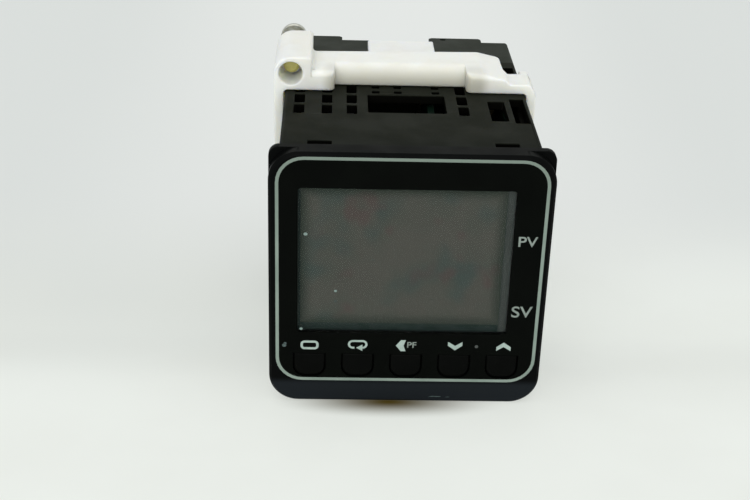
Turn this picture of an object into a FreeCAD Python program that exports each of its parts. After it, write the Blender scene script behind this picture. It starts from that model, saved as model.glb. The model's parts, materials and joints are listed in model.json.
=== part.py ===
"""Panel-mounted PID temperature controller, 48 x 48 mm face, with its mounting adapter.

Lengths are in millimetres. +X is right seen from the front, +Y runs back through the panel, +Z is up.
The origin is the centre of the bezel's rear face, which seats on the panel, so the front face is at
negative Y.
"""
import FreeCAD, Part
import math
import os

Vector = FreeCAD.Vector

# ---- Face and bezel ------------------------------------------------------------------------------
FACE_SIZE = 48.0            # square front of the bezel
BEZEL_DEPTH = 4.0           # bezel in front of the panel
FLANGE_THICKNESS = 1.5      # squarer plate at the back of the bezel
FACE_CORNER = 5.2           # round corners of the front
FLANGE_CORNER = 1.8
FACE_EDGE = 0.5             # softened front edge
FACE_WALL = 1.05            # front wall, with the sheet in its recess
SHEET_THICKNESS = 0.30
SHEET_MARGIN_SIDE = 1.45    # from the face's side edge to the sheet
SHEET_MARGIN_TOP = 0.95
SHEET_MARGIN_BOTTOM = 4.85  # the wide plain strip under the keys
SHEET_CORNER = 4.4

# ---- Display -------------------------------------------------------------------------------------
WINDOW_MARGIN_LEFT = 5.0    # from the face's edges to the window
WINDOW_MARGIN_RIGHT = 6.5
WINDOW_MARGIN_TOP = 6.3
WINDOW_TO_KEYS = 4.4        # strip between the window and the keys
WINDOW_CORNER = 0.5
LENS_THICKNESS = 1.0
LENS_GAP = 0.05             # between the lens and the polariser, and round the lens
POLARISER_NEAR = 0.45       # polariser inside the window's left and upper edges
POLARISER_FAR = 1.4         # and inside the right and lower ones
POLARISER_THICKNESS = 0.2
LCD_LIP = 0.5               # glass held behind the window's edge
LCD_CHAMBER_GAP = 0.15      # round the glass and its holder, inside the bezel
LCD_THICKNESS = 1.8
GUIDE_THICKNESS = 2.0
HOLDER_DEPTH = 3.95         # from the glass back to the display board
HOLDER_RIM = 1.0
CONTACT_STRIP = 1.4         # width of each elastomer strip
LED_LENGTH = 3.0
LED_WIDTH = 1.4
LED_HEIGHT = 0.8
LED_COUNT = 4

# ---- Keys ----------------------------------------------------------------------------------------
KEY_NAMES = ("level_key", "mode_key", "shift_key", "down_key", "up_key")
KEY_MARGIN_LEFT = 4.35      # from the face's edges to the first and last keys
KEY_MARGIN_RIGHT = 4.15
KEY_MARGIN_BOTTOM = 5.3
KEY_WIDTH = 5.5
KEY_HEIGHT = 4.5
KEY_ROUND = 2.0             # round lower corners
KEY_EDGE = 0.2              # softened front edge
KEY_RECESS = 0.2            # key face behind the bezel's face
KEY_GAP = 0.15              # round each key in its opening
KEY_FLANGE = 0.45           # flange wider than the key
KEY_FLANGE_THICKNESS = 0.7
KEY_POST_SIZE = 2.0
KEY_POST_LENGTH = 1.2       # behind the flange
KEY_TRAVEL = 0.5
KEY_STOP_GAP = 0.05         # between a key's flange and the bezel's wall
KEY_CHAMBER_GAP = 0.35      # round the flanges, behind the bezel's wall
KEY_CHAMBER_DEPTH = 0.1     # left behind a flange at the end of its travel
DOME_GAP = 0.1              # left under a key's post at the end of its travel
DOME_SIZE = 4.6             # square foot of each rubber dome
DOME_TOP_SIZE = 3.0
DOME_WALL = 0.4
DOME_ROOF = 0.8
PAD_THICKNESS = 0.9
PAD_MARGIN_END = 2.2        # rubber pad round the centres of the keys
PAD_MARGIN_SIDE = 3.0
PILL_SIZE = 1.9
PILL_THICKNESS = 0.4

# ---- Case and its vents --------------------------------------------------------------------------
PANEL_LEDGE = 1.6           # face beyond the case all round, which seats on the panel
CASE_WALL = 1.6
CASE_CORNER = 0.7
CASE_LENGTH = 47.5          # from the panel seat to the terminal block
CASE_SEAT_DEPTH = 0.4       # rebate of the bezel in which the case's front stands
CASE_SEAT_GAP = 0.1
SKIRT_GAP = 0.2             # bezel's skirt inside the case
SKIRT_WALL = 0.9
SKIRT_LENGTH = 6.0
LATCH_PLACES = (-15.6, 16.4)
LATCH_Y = 4.35
LATCH_WINDOW_WIDTH = 4.2
LATCH_WINDOW_LENGTH = 2.1
LATCH_PLAY = 0.2            # hook inside its window, each way
LATCH_DEPTH = 0.4           # hook's tip below the case's surface
LATCH_LAND = 0.6            # flat of the hook's tip
LATCH_SLIT = 0.6            # either side of the latch's arm
LATCH_SLIT_START = 0.8
VENT_COLUMNS = (2.9, 7.9, 12.4, 32.6)   # from the case's left side to each column
VENT_FIRST_Y = 20.3
VENT_PITCH = 5.3
VENT_ROWS = 4
VENT_WIDTH = 1.9
VENT_LENGTH = 4.4
GRILLE_WIDTH = 14.2         # wide central vent
GRILLE_FRONT = 18.95
GRILLE_LENGTH = 9.0
SIDE_VENTS = (              # inset from the case's right side, width, start and length
    (6.0, 3.1, 15.75, 9.9),
    (2.1, 2.6, 14.8, 12.2),
    (2.1, 2.6, 37.5, 7.0),
)
LADDER_COLUMNS = (-5.5, -1.4, 5.6)
LADDER_FIRST_Y = 29.5
LADDER_PITCH = 2.6
LADDER_STEPS = 5
LADDER_HOLE = 1.5

# ---- Terminal block ------------------------------------------------------------------------------
BLOCK_LENGTH = 12.5
SPIGOT_LENGTH = 3.0
SPIGOT_GAP = 0.15
SPIGOT_WALL = 1.3
SPIGOT_CORNER = 0.6
TERMINAL_COLUMNS = 3
TERMINAL_ROWS = 6
BLOCK_SIDE_WALL = 1.5       # outside the outer pockets
BLOCK_TOP_WALL = 2.2
POCKET_WIDTH = 12.0
POCKET_HEIGHT = 5.9
POCKET_DEPTH = 6.0
WIRE_NOTCH_HEIGHT = 4.2
WIRE_NOTCH_DEPTH = 4.6
TAB_LENGTH = 2.4            # cover tabs behind the block
TAB_THICKNESS = 1.5
TAB_CHAMFER = 0.5
LEFT_TAB_INSET = 2.2
LEFT_TAB_WIDTH = 8.5
RIGHT_TAB_INSET = 5.4
RIGHT_TAB_WIDTH = 10.8
TAB_HOLE_RADIUS = 0.6       # hole in the right tab, from its left end and from its rear edge
TAB_HOLE_INSET = 2.9
TAB_HOLE_SETBACK = 0.9
PLATE_THICKNESS = 0.8
PLATE_WIDTH = 8.0
PLATE_HEIGHT = 5.2
LEG_WIDTH = 2.4
LEG_THICKNESS = 0.6
LEG_REACH = 4.5             # contact leg in front of the block's spigot
SLOT_PLAY = 0.1
WASHER_SIZE = 5.0
WASHER_THICKNESS = 0.7
SCREW_RADIUS = 1.5          # M3, for terminals and clamp alike
SCREW_CLEARANCE = 0.05
WELL_GAP = 0.3              # round the screw's end in the block
SHANK_SIDES = 8             # hidden shanks of the terminal screws, and their holes, in flats
TERMINAL_SCREW_LENGTH = 5.0
SCREW_HEAD_RADIUS = 2.6
SCREW_HEAD_HEIGHT = 1.9
HEAD_CHAMFER = 0.5
DRIVE_WIDTH = 0.8
DRIVE_LENGTH = 3.2
DRIVE_DEPTH = 1.0

# ---- Boards and what stands on them --------------------------------------------------------------
BOARD_THICKNESS = 1.2
BOARD_GAP = 0.15            # board's faces in its guide
BOARD_EDGE_GAP = 0.75       # board's edges inside the case
BOARD_NOTCH_LENGTH = 3.0
BOARD_NOTCH_HEIGHT = 1.6
BOARD_FRONT = 6.4
BOARD_REAR_GAP = 0.4        # in front of the spigot's end
GUIDE_RIB_WIDTH = 1.0
GUIDE_RIB_HEIGHT = 1.6
GUIDE_RIB_START = 9.0
GUIDE_RIB_LENGTH = 5.5
SIDE_BOARD_SPACE = 2.2      # from the case's side wall to the outer boards' centre planes
RELAY_SPACE = 1.7           # between the relays and the chips of the input board
HEADER_DEPTH = 2.6
HEADER_LENGTH = 3.8
HEADER_HEIGHT = 20.0
DISPLAY_BOARD_GAP = 0.3     # inside the skirt
TRANSFORMER_Y = 32.0        # centre of the transformer on its board
TRANSFORMER_Z = 9.6
TRANSFORMER_SIZE = 15.0
CORE_THICKNESS = 5.0
CORE_LIMB = 3.0             # middle limb
CORE_YOKE = 1.9             # outer limbs and yokes
WINDING_CORNER = 1.6
WINDING_GAP = 0.15          # between the bobbin and the middle limb
WINDING_SPACE = 0.55        # between the winding and the outer limbs
CAPACITOR_RADIUS = 4.0
CAPACITOR_LENGTH = 12.5
CAPACITOR_PLACES = ((15.0, -9.5), (24.5, -9.5))
VARISTOR_RADIUS = 4.2
VARISTOR_THICKNESS = 3.2
VARISTOR_LIFT = 0.8         # disc off the board, on its leads
VARISTOR_LEADS = 5.2
LEAD_THICKNESS = 1.0
VARISTOR_PLACE = (35.0, -9.0)
RELAY_LENGTH = 18.4
RELAY_DEPTH = 9.6
RELAY_HEIGHT = 14.4
RELAY_LEG_GAP = 0.6         # in front of the contact legs
RELAY_Z = 8.4               # centre of each relay above or below the middle
CHIP_SIZE = 9.0
CHIP_THICKNESS = 1.4
CHIP_Y = 18.0
SIGNAL_CHIP_LENGTH = 5.0
SIGNAL_CHIP_WIDTH = 4.0
SIGNAL_CHIP_PLACES = ((12.5, 9.0), (12.5, -9.0), (30.0, 11.0), (30.0, 4.0), (30.0, -8.0))

# ---- Mounting adapter and clamp screws -----------------------------------------------------------
ADAPTER_GAP = 0.2           # round the case
ADAPTER_WALL = 1.8
ADAPTER_Y = 29.1            # front of its lobes
ADAPTER_DEPTH = 13.4
BAR_HEIGHT = 3.7            # cross bar above the case's clearance
BAR_TAPER = 1.4             # bar shallower at the lug's end
BAR_SETBACK = 3.2           # bar behind the lobes
BAR_ROUND = 3.1
LOBE_ROUND = 1.2            # softened edges of the lobes
LOBE_LEFT_WIDTH = 11.2
LOBE_RIGHT_WIDTH = 13.1
CORNER_DEPTH = 6.4          # shallow corner away from the lug
CORNER_WIDTH = 5.8
CORNER_DROP = 1.9           # corner's top below the bar's
CORNER_STEP = 0.9           # width of the slope down to it
CORNER_SLOPE = 1.2          # width of its sloping outer edge
SHOULDER_DROP = 1.05        # the bar's top falls this much towards that corner
SHOULDER_WIDTH = 10.2
SHOULDER_ROUND = 3.0
LUG_WIDTH = 7.0
LUG_DEPTH = 16.4
LUG_ROUND = 3.1             # wall round the clamp screw's axis
LUG_RISE = 6.5              # lug's top above the case's top
LUG_EDGE = 0.8
ADAPTER_EDGE = 0.9          # smaller round corners
RECESS_RADIUS = 2.2
RECESS_DEPTH = 7.0
TONGUE_LEFT = -6.6
TONGUE_RIGHT = 6.5
TONGUE_LENGTH = 11.7        # behind the bar
TONGUE_THICKNESS = 1.4
TONGUE_LIFT = 0.5           # over the case's clearance, up to the pawl at its end
PAWL_LENGTH = 2.0
CLAMP_SCREW_LENGTH = 16.8
CLAMP_TIP_SETBACK = 4.6     # screw's tip behind the lobes
TIP_CHAMFER = 0.4

# ---- Worked out from the sizes above -------------------------------------------------------------
FACE_Y = -BEZEL_DEPTH
FACE_HALF = FACE_SIZE / 2
CASE_SIZE = FACE_SIZE - 2 * PANEL_LEDGE
CASE_HALF = CASE_SIZE / 2
CASE_INNER = CASE_HALF - CASE_WALL
WALL_REAR = FACE_Y + FACE_WALL
SKIRT_HALF = CASE_INNER - SKIRT_GAP
SKIRT_INNER = SKIRT_HALF - SKIRT_WALL
WINDOW_X0 = -FACE_HALF + WINDOW_MARGIN_LEFT
WINDOW_X1 = FACE_HALF - WINDOW_MARGIN_RIGHT
KEY_TOP_Z = -FACE_HALF + KEY_MARGIN_BOTTOM + KEY_HEIGHT
KEY_Z = KEY_TOP_Z - KEY_HEIGHT / 2
WINDOW_Z0 = KEY_TOP_Z + WINDOW_TO_KEYS
WINDOW_Z1 = FACE_HALF - WINDOW_MARGIN_TOP
WINDOW_X = (WINDOW_X0 + WINDOW_X1) / 2
WINDOW_Z = (WINDOW_Z0 + WINDOW_Z1) / 2
KEY_ROW_LEFT = -FACE_HALF + KEY_MARGIN_LEFT + KEY_WIDTH / 2
KEY_PITCH = (FACE_SIZE - KEY_MARGIN_LEFT - KEY_MARGIN_RIGHT - KEY_WIDTH) / (len(KEY_NAMES) - 1)
BLOCK_REAR = CASE_LENGTH + BLOCK_LENGTH
POCKET_FLOOR = BLOCK_REAR - POCKET_DEPTH
TERMINAL_COLUMN_PITCH = (CASE_SIZE - 2 * BLOCK_SIDE_WALL - POCKET_WIDTH) / (TERMINAL_COLUMNS - 1)
TERMINAL_ROW_PITCH = (CASE_SIZE - 2 * BLOCK_TOP_WALL - POCKET_HEIGHT) / (TERMINAL_ROWS - 1)
LEG_FRONT = CASE_LENGTH - SPIGOT_LENGTH - LEG_REACH
POLARISER_Y = FACE_Y + LENS_THICKNESS + LENS_GAP
LCD_Y = POLARISER_Y + POLARISER_THICKNESS
LCD_REAR = LCD_Y + LCD_THICKNESS
KEY_FLANGE_Y = WALL_REAR + KEY_STOP_GAP
KEY_POST_END = KEY_FLANGE_Y + KEY_FLANGE_THICKNESS + KEY_POST_LENGTH
DOME_Y = KEY_POST_END + KEY_TRAVEL + DOME_GAP
DISPLAY_BOARD_Y = LCD_REAR + HOLDER_DEPTH
BOARD_REAR = CASE_LENGTH - SPIGOT_LENGTH - BOARD_REAR_GAP
BOARD_HALF = CASE_INNER - BOARD_EDGE_GAP
SIDE_BOARD_X = CASE_INNER - SIDE_BOARD_SPACE
INPUT_BOARD_X = SIDE_BOARD_X - RELAY_DEPTH - RELAY_SPACE - CHIP_THICKNESS - BOARD_THICKNESS
WINDING_DEPTH = (TRANSFORMER_SIZE - CORE_LIMB) / 2 - CORE_YOKE - WINDING_GAP - WINDING_SPACE
RELAY_Y = LEG_FRONT - RELAY_LEG_GAP - RELAY_LENGTH
ADAPTER_INNER = CASE_HALF + ADAPTER_GAP
ADAPTER_OUTER = ADAPTER_INNER + ADAPTER_WALL
ADAPTER_REAR = ADAPTER_Y + ADAPTER_DEPTH
BAR_TOP = ADAPTER_INNER + BAR_HEIGHT
LUG_TOP = CASE_HALF + LUG_RISE
CLAMP_X = -(ADAPTER_OUTER - LUG_ROUND)
CLAMP_Z = LUG_TOP - LUG_ROUND
CLAMP_TIP_Y = ADAPTER_Y + CLAMP_TIP_SETBACK


# ---- Shape helpers -------------------------------------------------------------------------------
def block(x0, x1, y0, y1, z0, z1):
    return Part.makeBox(x1 - x0, y1 - y0, z1 - z0, Vector(x0, y0, z0))


def centred_block(x, y0, z, width, length, height):
    return block(x - width / 2, x + width / 2, y0, y0 + length, z - height / 2, z + height / 2)


def rod(radius, x, z, y0, y1):
    """Round bar along Y."""
    return Part.makeCylinder(radius, y1 - y0, Vector(x, y0, z), Vector(0, 1, 0))


def outline(corners, place):
    """Closed wire through corners (u, v) or (u, v, radius), each rounded by its radius."""
    ends = []
    for i, corner in enumerate(corners):
        here = Vector(corner[0], corner[1], 0)
        radius = corner[2] if len(corner) > 2 else 0
        if not radius:
            ends.append((here, None, here))
            continue
        before = corners[i - 1]
        after = corners[(i + 1) % len(corners)]
        back = (Vector(before[0], before[1], 0) - here).normalize()
        on = (Vector(after[0], after[1], 0) - here).normalize()
        half_angle = back.getAngle(on) / 2
        reach = radius / math.tan(half_angle)
        centre = here + (back + on).normalize() * (radius / math.sin(half_angle))
        middle = centre + (here - centre).normalize() * radius
        ends.append((here + back * reach, middle, here + on * reach))
    edges = []
    for i, (start, middle, end) in enumerate(ends):
        if middle is not None:
            edges.append(Part.Arc(place(start), place(middle), place(end)).toShape())
        next_start = ends[(i + 1) % len(ends)][0]
        if end.distanceToPoint(next_start) > 1e-6:
            edges.append(Part.makeLine(place(end), place(next_start)))
    return Part.Wire(edges)


def prism_along_y(corners, y0, y1):
    """Outline in X and Z, drawn out along Y."""
    wire = outline(corners, lambda p: Vector(p.x, y0, p.y))
    return Part.Face(wire).extrude(Vector(0, y1 - y0, 0))


def prism_along_x(corners, x0, x1):
    """Outline in Y and Z, drawn out along X."""
    wire = outline(corners, lambda p: Vector(x0, p.x, p.y))
    return Part.Face(wire).extrude(Vector(x1 - x0, 0, 0))


def prism_along_z(corners, z0, z1):
    """Outline in X and Y, drawn out along Z."""
    wire = outline(corners, lambda p: Vector(p.x, p.y, z0))
    return Part.Face(wire).extrude(Vector(0, 0, z1 - z0))


def rectangle(x0, x1, z0, z1, radius=0):
    return [(x0, z0, radius), (x1, z0, radius), (x1, z1, radius), (x0, z1, radius)]


def square(half, radius=0):
    return rectangle(-half, half, -half, half, radius)


def turned(shape):
    """Copy turned half a turn about the Y axis."""
    copy = shape.copy()
    copy.rotate(Vector(0, 0, 0), Vector(0, 1, 0), 180)
    return copy


def upside_down(shape):
    """Copy mirrored in the level plane through the origin."""
    return shape.mirror(Vector(0, 0, 0), Vector(0, 0, 1))


def fused(shapes):
    first = shapes[0]
    if len(shapes) == 1:
        return first
    return first.fuse(shapes[1:]).removeSplitter()


def revolved(profile, x, z):
    """Solid of revolution about an axis along Y, from a half section of (radius, y) points."""
    points = [Vector(radius, y, 0) for radius, y in profile]
    shape = Part.Face(Part.makePolygon(points + points[:1])).revolve(Vector(0, 0, 0), Vector(0, 1, 0), 360)
    shape.translate(Vector(x, 0, z))
    return shape


def flat_sided_bar(across, x, z, y0, y1):
    """Bar along Y with SHANK_SIDES flats, across the given distance between opposite flats."""
    radius = across / 2 / math.cos(math.pi / SHANK_SIDES)
    turns = [(i + 0.5) * 2 * math.pi / SHANK_SIDES for i in range(SHANK_SIDES)]
    outline = [(x + radius * math.cos(turn), z + radius * math.sin(turn)) for turn in turns]
    return prism_along_y(outline, y0, y1)


# ---- Where the keys and terminals stand ----------------------------------------------------------
def key_centres():
    return [KEY_ROW_LEFT + i * KEY_PITCH for i in range(len(KEY_NAMES))]


def key_outline(x, margin):
    """Key seen from the front: straight upper edge, round lower one."""
    left = x - KEY_WIDTH / 2 - margin
    right = x + KEY_WIDTH / 2 + margin
    top = KEY_TOP_Z + margin
    bottom = KEY_TOP_Z - KEY_HEIGHT - margin
    rounding = KEY_ROUND + margin
    return [(left, top), (left, bottom, rounding), (right, bottom, rounding), (right, top)]


def terminal_places():
    places = []
    for column in range(TERMINAL_COLUMNS):
        x = (column - (TERMINAL_COLUMNS - 1) / 2) * TERMINAL_COLUMN_PITCH
        for row in range(TERMINAL_ROWS):
            places.append((column, x, ((TERMINAL_ROWS - 1) / 2 - row) * TERMINAL_ROW_PITCH))
    return places


def leg_place(column):
    """Centre plane of the contact legs of a column, beside the board that they touch."""
    beside = BOARD_THICKNESS / 2 + LEG_THICKNESS / 2
    return (-SIDE_BOARD_X + beside, INPUT_BOARD_X - beside, SIDE_BOARD_X - beside)[column]


# ---- Front unit ----------------------------------------------------------------------------------
def window_rectangle(margin, radius=0):
    return rectangle(WINDOW_X0 - margin, WINDOW_X1 + margin, WINDOW_Z0 - margin, WINDOW_Z1 + margin, radius)


def sheet_outline():
    return rectangle(
        -FACE_HALF + SHEET_MARGIN_SIDE,
        FACE_HALF - SHEET_MARGIN_SIDE,
        -FACE_HALF + SHEET_MARGIN_BOTTOM,
        FACE_HALF - SHEET_MARGIN_TOP,
        SHEET_CORNER,
    )


def latch_hook(x):
    """Arm of the bezel's skirt with the hook that clicks into the case."""
    length = LATCH_WINDOW_LENGTH - 2 * LATCH_PLAY
    half_width = LATCH_WINDOW_WIDTH / 2 - LATCH_PLAY
    front = LATCH_Y - length / 2
    tip = CASE_HALF - LATCH_DEPTH
    root = SKIRT_HALF - SKIRT_WALL / 2
    profile = [(front, root), (front, tip), (front + LATCH_LAND, tip), (front + length, root)]
    return prism_along_x(profile, x - half_width, x + half_width)


def key_chamber():
    """Room behind the front wall for the keys' flanges and their travel."""
    margin = KEY_FLANGE + KEY_CHAMBER_GAP
    x0 = key_centres()[0] - KEY_WIDTH / 2 - margin
    x1 = key_centres()[-1] + KEY_WIDTH / 2 + margin
    rear = KEY_FLANGE_Y + KEY_FLANGE_THICKNESS + KEY_TRAVEL + KEY_CHAMBER_DEPTH
    return block(x0, x1, WALL_REAR, rear, KEY_TOP_Z - KEY_HEIGHT - margin, KEY_TOP_Z + margin)


def latch_slits():
    """Slits beside the skirt's latches, which let their arms spring inwards."""
    slits = []
    for x in LATCH_PLACES:
        for side in (-1, 1):
            edge = x + side * LATCH_WINDOW_WIDTH / 2
            if abs(edge) < SKIRT_INNER:
                slits.append(block(
                    edge - LATCH_SLIT / 2, edge + LATCH_SLIT / 2,
                    LATCH_SLIT_START, SKIRT_LENGTH + 1, 0, FACE_HALF
                ))
    return slits + [upside_down(slit) for slit in slits]


def make_front_bezel():
    front = prism_along_y(square(FACE_HALF, FACE_CORNER), FACE_Y, -FLANGE_THICKNESS)
    rim = [edge for edge in front.Edges if edge.BoundBox.YMax < FACE_Y + 0.01]
    front = front.makeChamfer(FACE_EDGE, rim)
    flange = prism_along_y(square(FACE_HALF, FLANGE_CORNER), -FLANGE_THICKNESS, 0)
    flange = flange.cut(prism_along_y(square(CASE_HALF + CASE_SEAT_GAP, CASE_CORNER), -CASE_SEAT_DEPTH, 1))
    skirt = prism_along_y(square(SKIRT_HALF, CASE_CORNER), -FLANGE_THICKNESS, SKIRT_LENGTH)
    body = fused([front, flange, skirt])
    cuts = [
        prism_along_y(square(SKIRT_INNER), WALL_REAR, SKIRT_LENGTH + 1),
        prism_along_y(sheet_outline(), FACE_Y - 1, FACE_Y + SHEET_THICKNESS),
        prism_along_y(window_rectangle(0, WINDOW_CORNER), FACE_Y - 1, WALL_REAR + 1),
        prism_along_y(window_rectangle(LCD_LIP + LCD_CHAMBER_GAP), WALL_REAR, SKIRT_LENGTH + 1),
        key_chamber(),
    ]
    for x in key_centres():
        cuts.append(prism_along_y(key_outline(x, KEY_GAP), FACE_Y - 1, WALL_REAR + 1))
    hooks = [latch_hook(x) for x in LATCH_PLACES]
    hooks += [upside_down(hook) for hook in hooks]
    return body.cut(cuts + latch_slits()).fuse(hooks).removeSplitter()


def make_front_sheet():
    sheet = prism_along_y(sheet_outline(), FACE_Y, FACE_Y + SHEET_THICKNESS)
    sheet = sheet.cut(prism_along_y(window_rectangle(0, WINDOW_CORNER), FACE_Y - 1, 0))
    for x in key_centres():
        sheet = sheet.cut(prism_along_y(key_outline(x, KEY_GAP), FACE_Y - 1, 0))
    return sheet


def make_display_window():
    outline = window_rectangle(-LENS_GAP, WINDOW_CORNER - LENS_GAP)
    return prism_along_y(outline, FACE_Y, FACE_Y + LENS_THICKNESS)


def make_lcd_polariser():
    outline = rectangle(
        WINDOW_X0 + POLARISER_NEAR, WINDOW_X1 - POLARISER_FAR,
        WINDOW_Z0 + POLARISER_FAR, WINDOW_Z1 - POLARISER_NEAR
    )
    return prism_along_y(outline, POLARISER_Y, LCD_Y)


def make_lcd_panel():
    glass = prism_along_y(window_rectangle(LCD_LIP), LCD_Y, LCD_REAR)
    # The rear glass stands short of the front one along its upper edge, where the contacts are.
    ledge = WINDOW_Z1 + LCD_LIP - CONTACT_STRIP
    return glass.cut(block(-FACE_HALF, FACE_HALF, LCD_REAR - LCD_THICKNESS / 2, 0, ledge, FACE_HALF))


def contact_strip(upper):
    """Elastomer strip from the glass back to the display board, by its upper or its lower edge."""
    if upper:
        front = LCD_REAR - LCD_THICKNESS / 2
        z0 = WINDOW_Z1 + LCD_LIP - CONTACT_STRIP + LENS_GAP
    else:
        front = LCD_REAR
        z0 = WINDOW_Z0 - LCD_LIP
    return block(
        WINDOW_X0 + HOLDER_RIM, WINDOW_X1 - HOLDER_RIM,
        front, DISPLAY_BOARD_Y, z0, z0 + CONTACT_STRIP - LENS_GAP
    )


def make_lcd_connectors():
    return Part.makeCompound([contact_strip(True), contact_strip(False)])


def make_light_guide():
    margin = -HOLDER_RIM - CONTACT_STRIP
    return prism_along_y(window_rectangle(margin), LCD_REAR, LCD_REAR + GUIDE_THICKNESS)


def make_lcd_holder():
    holder = prism_along_y(window_rectangle(LCD_LIP), LCD_REAR, DISPLAY_BOARD_Y)
    inside = window_rectangle(-HOLDER_RIM - CONTACT_STRIP)
    holder = holder.cut(prism_along_y(inside, LCD_REAR - 1, DISPLAY_BOARD_Y + 1))
    for upper in (True, False):
        strip = contact_strip(upper).BoundBox
        slot = block(strip.XMin, strip.XMax, LCD_REAR - 1, DISPLAY_BOARD_Y + 1, strip.ZMin, strip.ZMax)
        holder = holder.cut(slot)
    return holder


def make_backlight_leds():
    leds = []
    span = WINDOW_X1 - WINDOW_X0 - 2 * (HOLDER_RIM + CONTACT_STRIP + LED_LENGTH)
    for i in range(LED_COUNT):
        x = WINDOW_X + (i / (LED_COUNT - 1) - 0.5) * span
        foot = DISPLAY_BOARD_Y - LED_HEIGHT
        leds.append(centred_block(x, foot, WINDOW_Z, LED_LENGTH, LED_HEIGHT, LED_WIDTH))
    return Part.makeCompound(leds)


def make_key(x):
    face = FACE_Y + KEY_RECESS
    cap = prism_along_y(key_outline(x, 0), face, KEY_FLANGE_Y + KEY_FLANGE_THICKNESS)
    cap = cap.makeChamfer(KEY_EDGE, [edge for edge in cap.Edges if edge.BoundBox.YMax < face + 0.01])
    width = KEY_WIDTH + 2 * KEY_FLANGE
    height = KEY_HEIGHT + 2 * KEY_FLANGE
    flange = centred_block(x, KEY_FLANGE_Y, KEY_Z, width, KEY_FLANGE_THICKNESS, height)
    post = centred_block(x, KEY_FLANGE_Y, KEY_Z, KEY_POST_SIZE, KEY_POST_END - KEY_FLANGE_Y, KEY_POST_SIZE)
    return fused([cap, flange, post])


def tapered_square(x, z, y0, y1, size0, size1):
    """Square bar along Y that widens from size0 at y0 to size1 at y1."""
    h0 = size0 / 2
    h1 = size1 / 2
    return Part.makeWedge(x - h0, y0, z - h0, z - h1, x - h1, x + h0, y1, z + h0, z + h1, x + h1)


def make_key_pad():
    """Rubber pad on the display board, with a hollow dome behind each key."""
    centres = key_centres()
    pad_y = DISPLAY_BOARD_Y - PAD_THICKNESS
    x0 = centres[0] - PAD_MARGIN_END
    x1 = centres[-1] + PAD_MARGIN_END
    pad = block(x0, x1, pad_y, DISPLAY_BOARD_Y, KEY_Z - PAD_MARGIN_SIDE, KEY_Z + PAD_MARGIN_SIDE)
    roof = DOME_Y + DOME_ROOF
    domes = [tapered_square(x, KEY_Z, DOME_Y, pad_y, DOME_TOP_SIZE, DOME_SIZE) for x in centres]
    hollows = [
        tapered_square(x, KEY_Z, roof, DISPLAY_BOARD_Y, DOME_TOP_SIZE - DOME_WALL, DOME_SIZE - DOME_WALL)
        for x in centres
    ]
    return pad.fuse(domes).cut(hollows).removeSplitter()


def make_contact_pills():
    front = DOME_Y + DOME_ROOF
    return Part.makeCompound([
        centred_block(x, front, KEY_Z, PILL_SIZE, PILL_THICKNESS, PILL_SIZE) for x in key_centres()
    ])


def make_display_board():
    half = SKIRT_INNER - DISPLAY_BOARD_GAP
    return prism_along_y(square(half), DISPLAY_BOARD_Y, DISPLAY_BOARD_Y + BOARD_THICKNESS)


# ---- Boards and parts on them --------------------------------------------------------------------
def upright_board(x):
    """Board on edge, running back to the terminal block, with its corners notched at the rear."""
    half = BOARD_THICKNESS / 2
    board = block(x - half, x + half, BOARD_FRONT, BOARD_REAR, -BOARD_HALF, BOARD_HALF)
    notch = block(
        x - half, x + half, BOARD_REAR - BOARD_NOTCH_LENGTH, BOARD_REAR + 1,
        BOARD_HALF - BOARD_NOTCH_HEIGHT, CASE_HALF
    )
    return board.cut([notch, upside_down(notch)])


def make_board_connectors():
    """Pin headers that join the display board to the upright boards."""
    front = DISPLAY_BOARD_Y + BOARD_THICKNESS
    half = BOARD_THICKNESS / 2
    headers = []
    for x, side in ((-SIDE_BOARD_X, 1), (INPUT_BOARD_X, 1), (SIDE_BOARD_X, -1)):
        centre = x + side * (half + HEADER_DEPTH / 2)
        headers.append(centred_block(centre, front, 0, HEADER_DEPTH, HEADER_LENGTH, HEADER_HEIGHT))
    return Part.makeCompound(headers)


# ---- Parts on the boards -------------------------------------------------------------------------
def power_face():
    return -SIDE_BOARD_X + BOARD_THICKNESS / 2


def transformer_x():
    return power_face() + CORE_THICKNESS / 2 + WINDING_GAP + WINDING_DEPTH


def make_transformer_core():
    x = transformer_x()
    core = centred_block(
        x, TRANSFORMER_Y - TRANSFORMER_SIZE / 2, TRANSFORMER_Z,
        CORE_THICKNESS, TRANSFORMER_SIZE, TRANSFORMER_SIZE
    )
    opening = (TRANSFORMER_SIZE - 2 * CORE_YOKE - CORE_LIMB) / 2
    for side in (-1, 1):
        middle = TRANSFORMER_Y + side * (CORE_LIMB + opening) / 2
        core = core.cut(centred_block(
            x, middle - opening / 2, TRANSFORMER_Z, CORE_THICKNESS + 2, opening, TRANSFORMER_SIZE - 2 * CORE_YOKE
        ))
    return core


def make_transformer_winding():
    """Bobbin and winding round the core's middle limb, carried by the board's face."""
    x = transformer_x()
    height = TRANSFORMER_SIZE - 2 * CORE_YOKE - 2 * WINDING_GAP
    half_x = CORE_THICKNESS / 2 + WINDING_GAP + WINDING_DEPTH
    half_y = CORE_LIMB / 2 + WINDING_GAP + WINDING_DEPTH
    corners = [
        (x - half_x, TRANSFORMER_Y - half_y),
        (x + half_x, TRANSFORMER_Y - half_y, WINDING_CORNER),
        (x + half_x, TRANSFORMER_Y + half_y, WINDING_CORNER),
        (x - half_x, TRANSFORMER_Y + half_y),
    ]
    winding = prism_along_z(corners, TRANSFORMER_Z - height / 2, TRANSFORMER_Z + height / 2)
    limb = CORE_LIMB + 2 * WINDING_GAP
    return winding.cut(centred_block(
        x, TRANSFORMER_Y - limb / 2, TRANSFORMER_Z, CORE_THICKNESS + 2 * WINDING_GAP, limb, TRANSFORMER_SIZE
    ))


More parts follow.
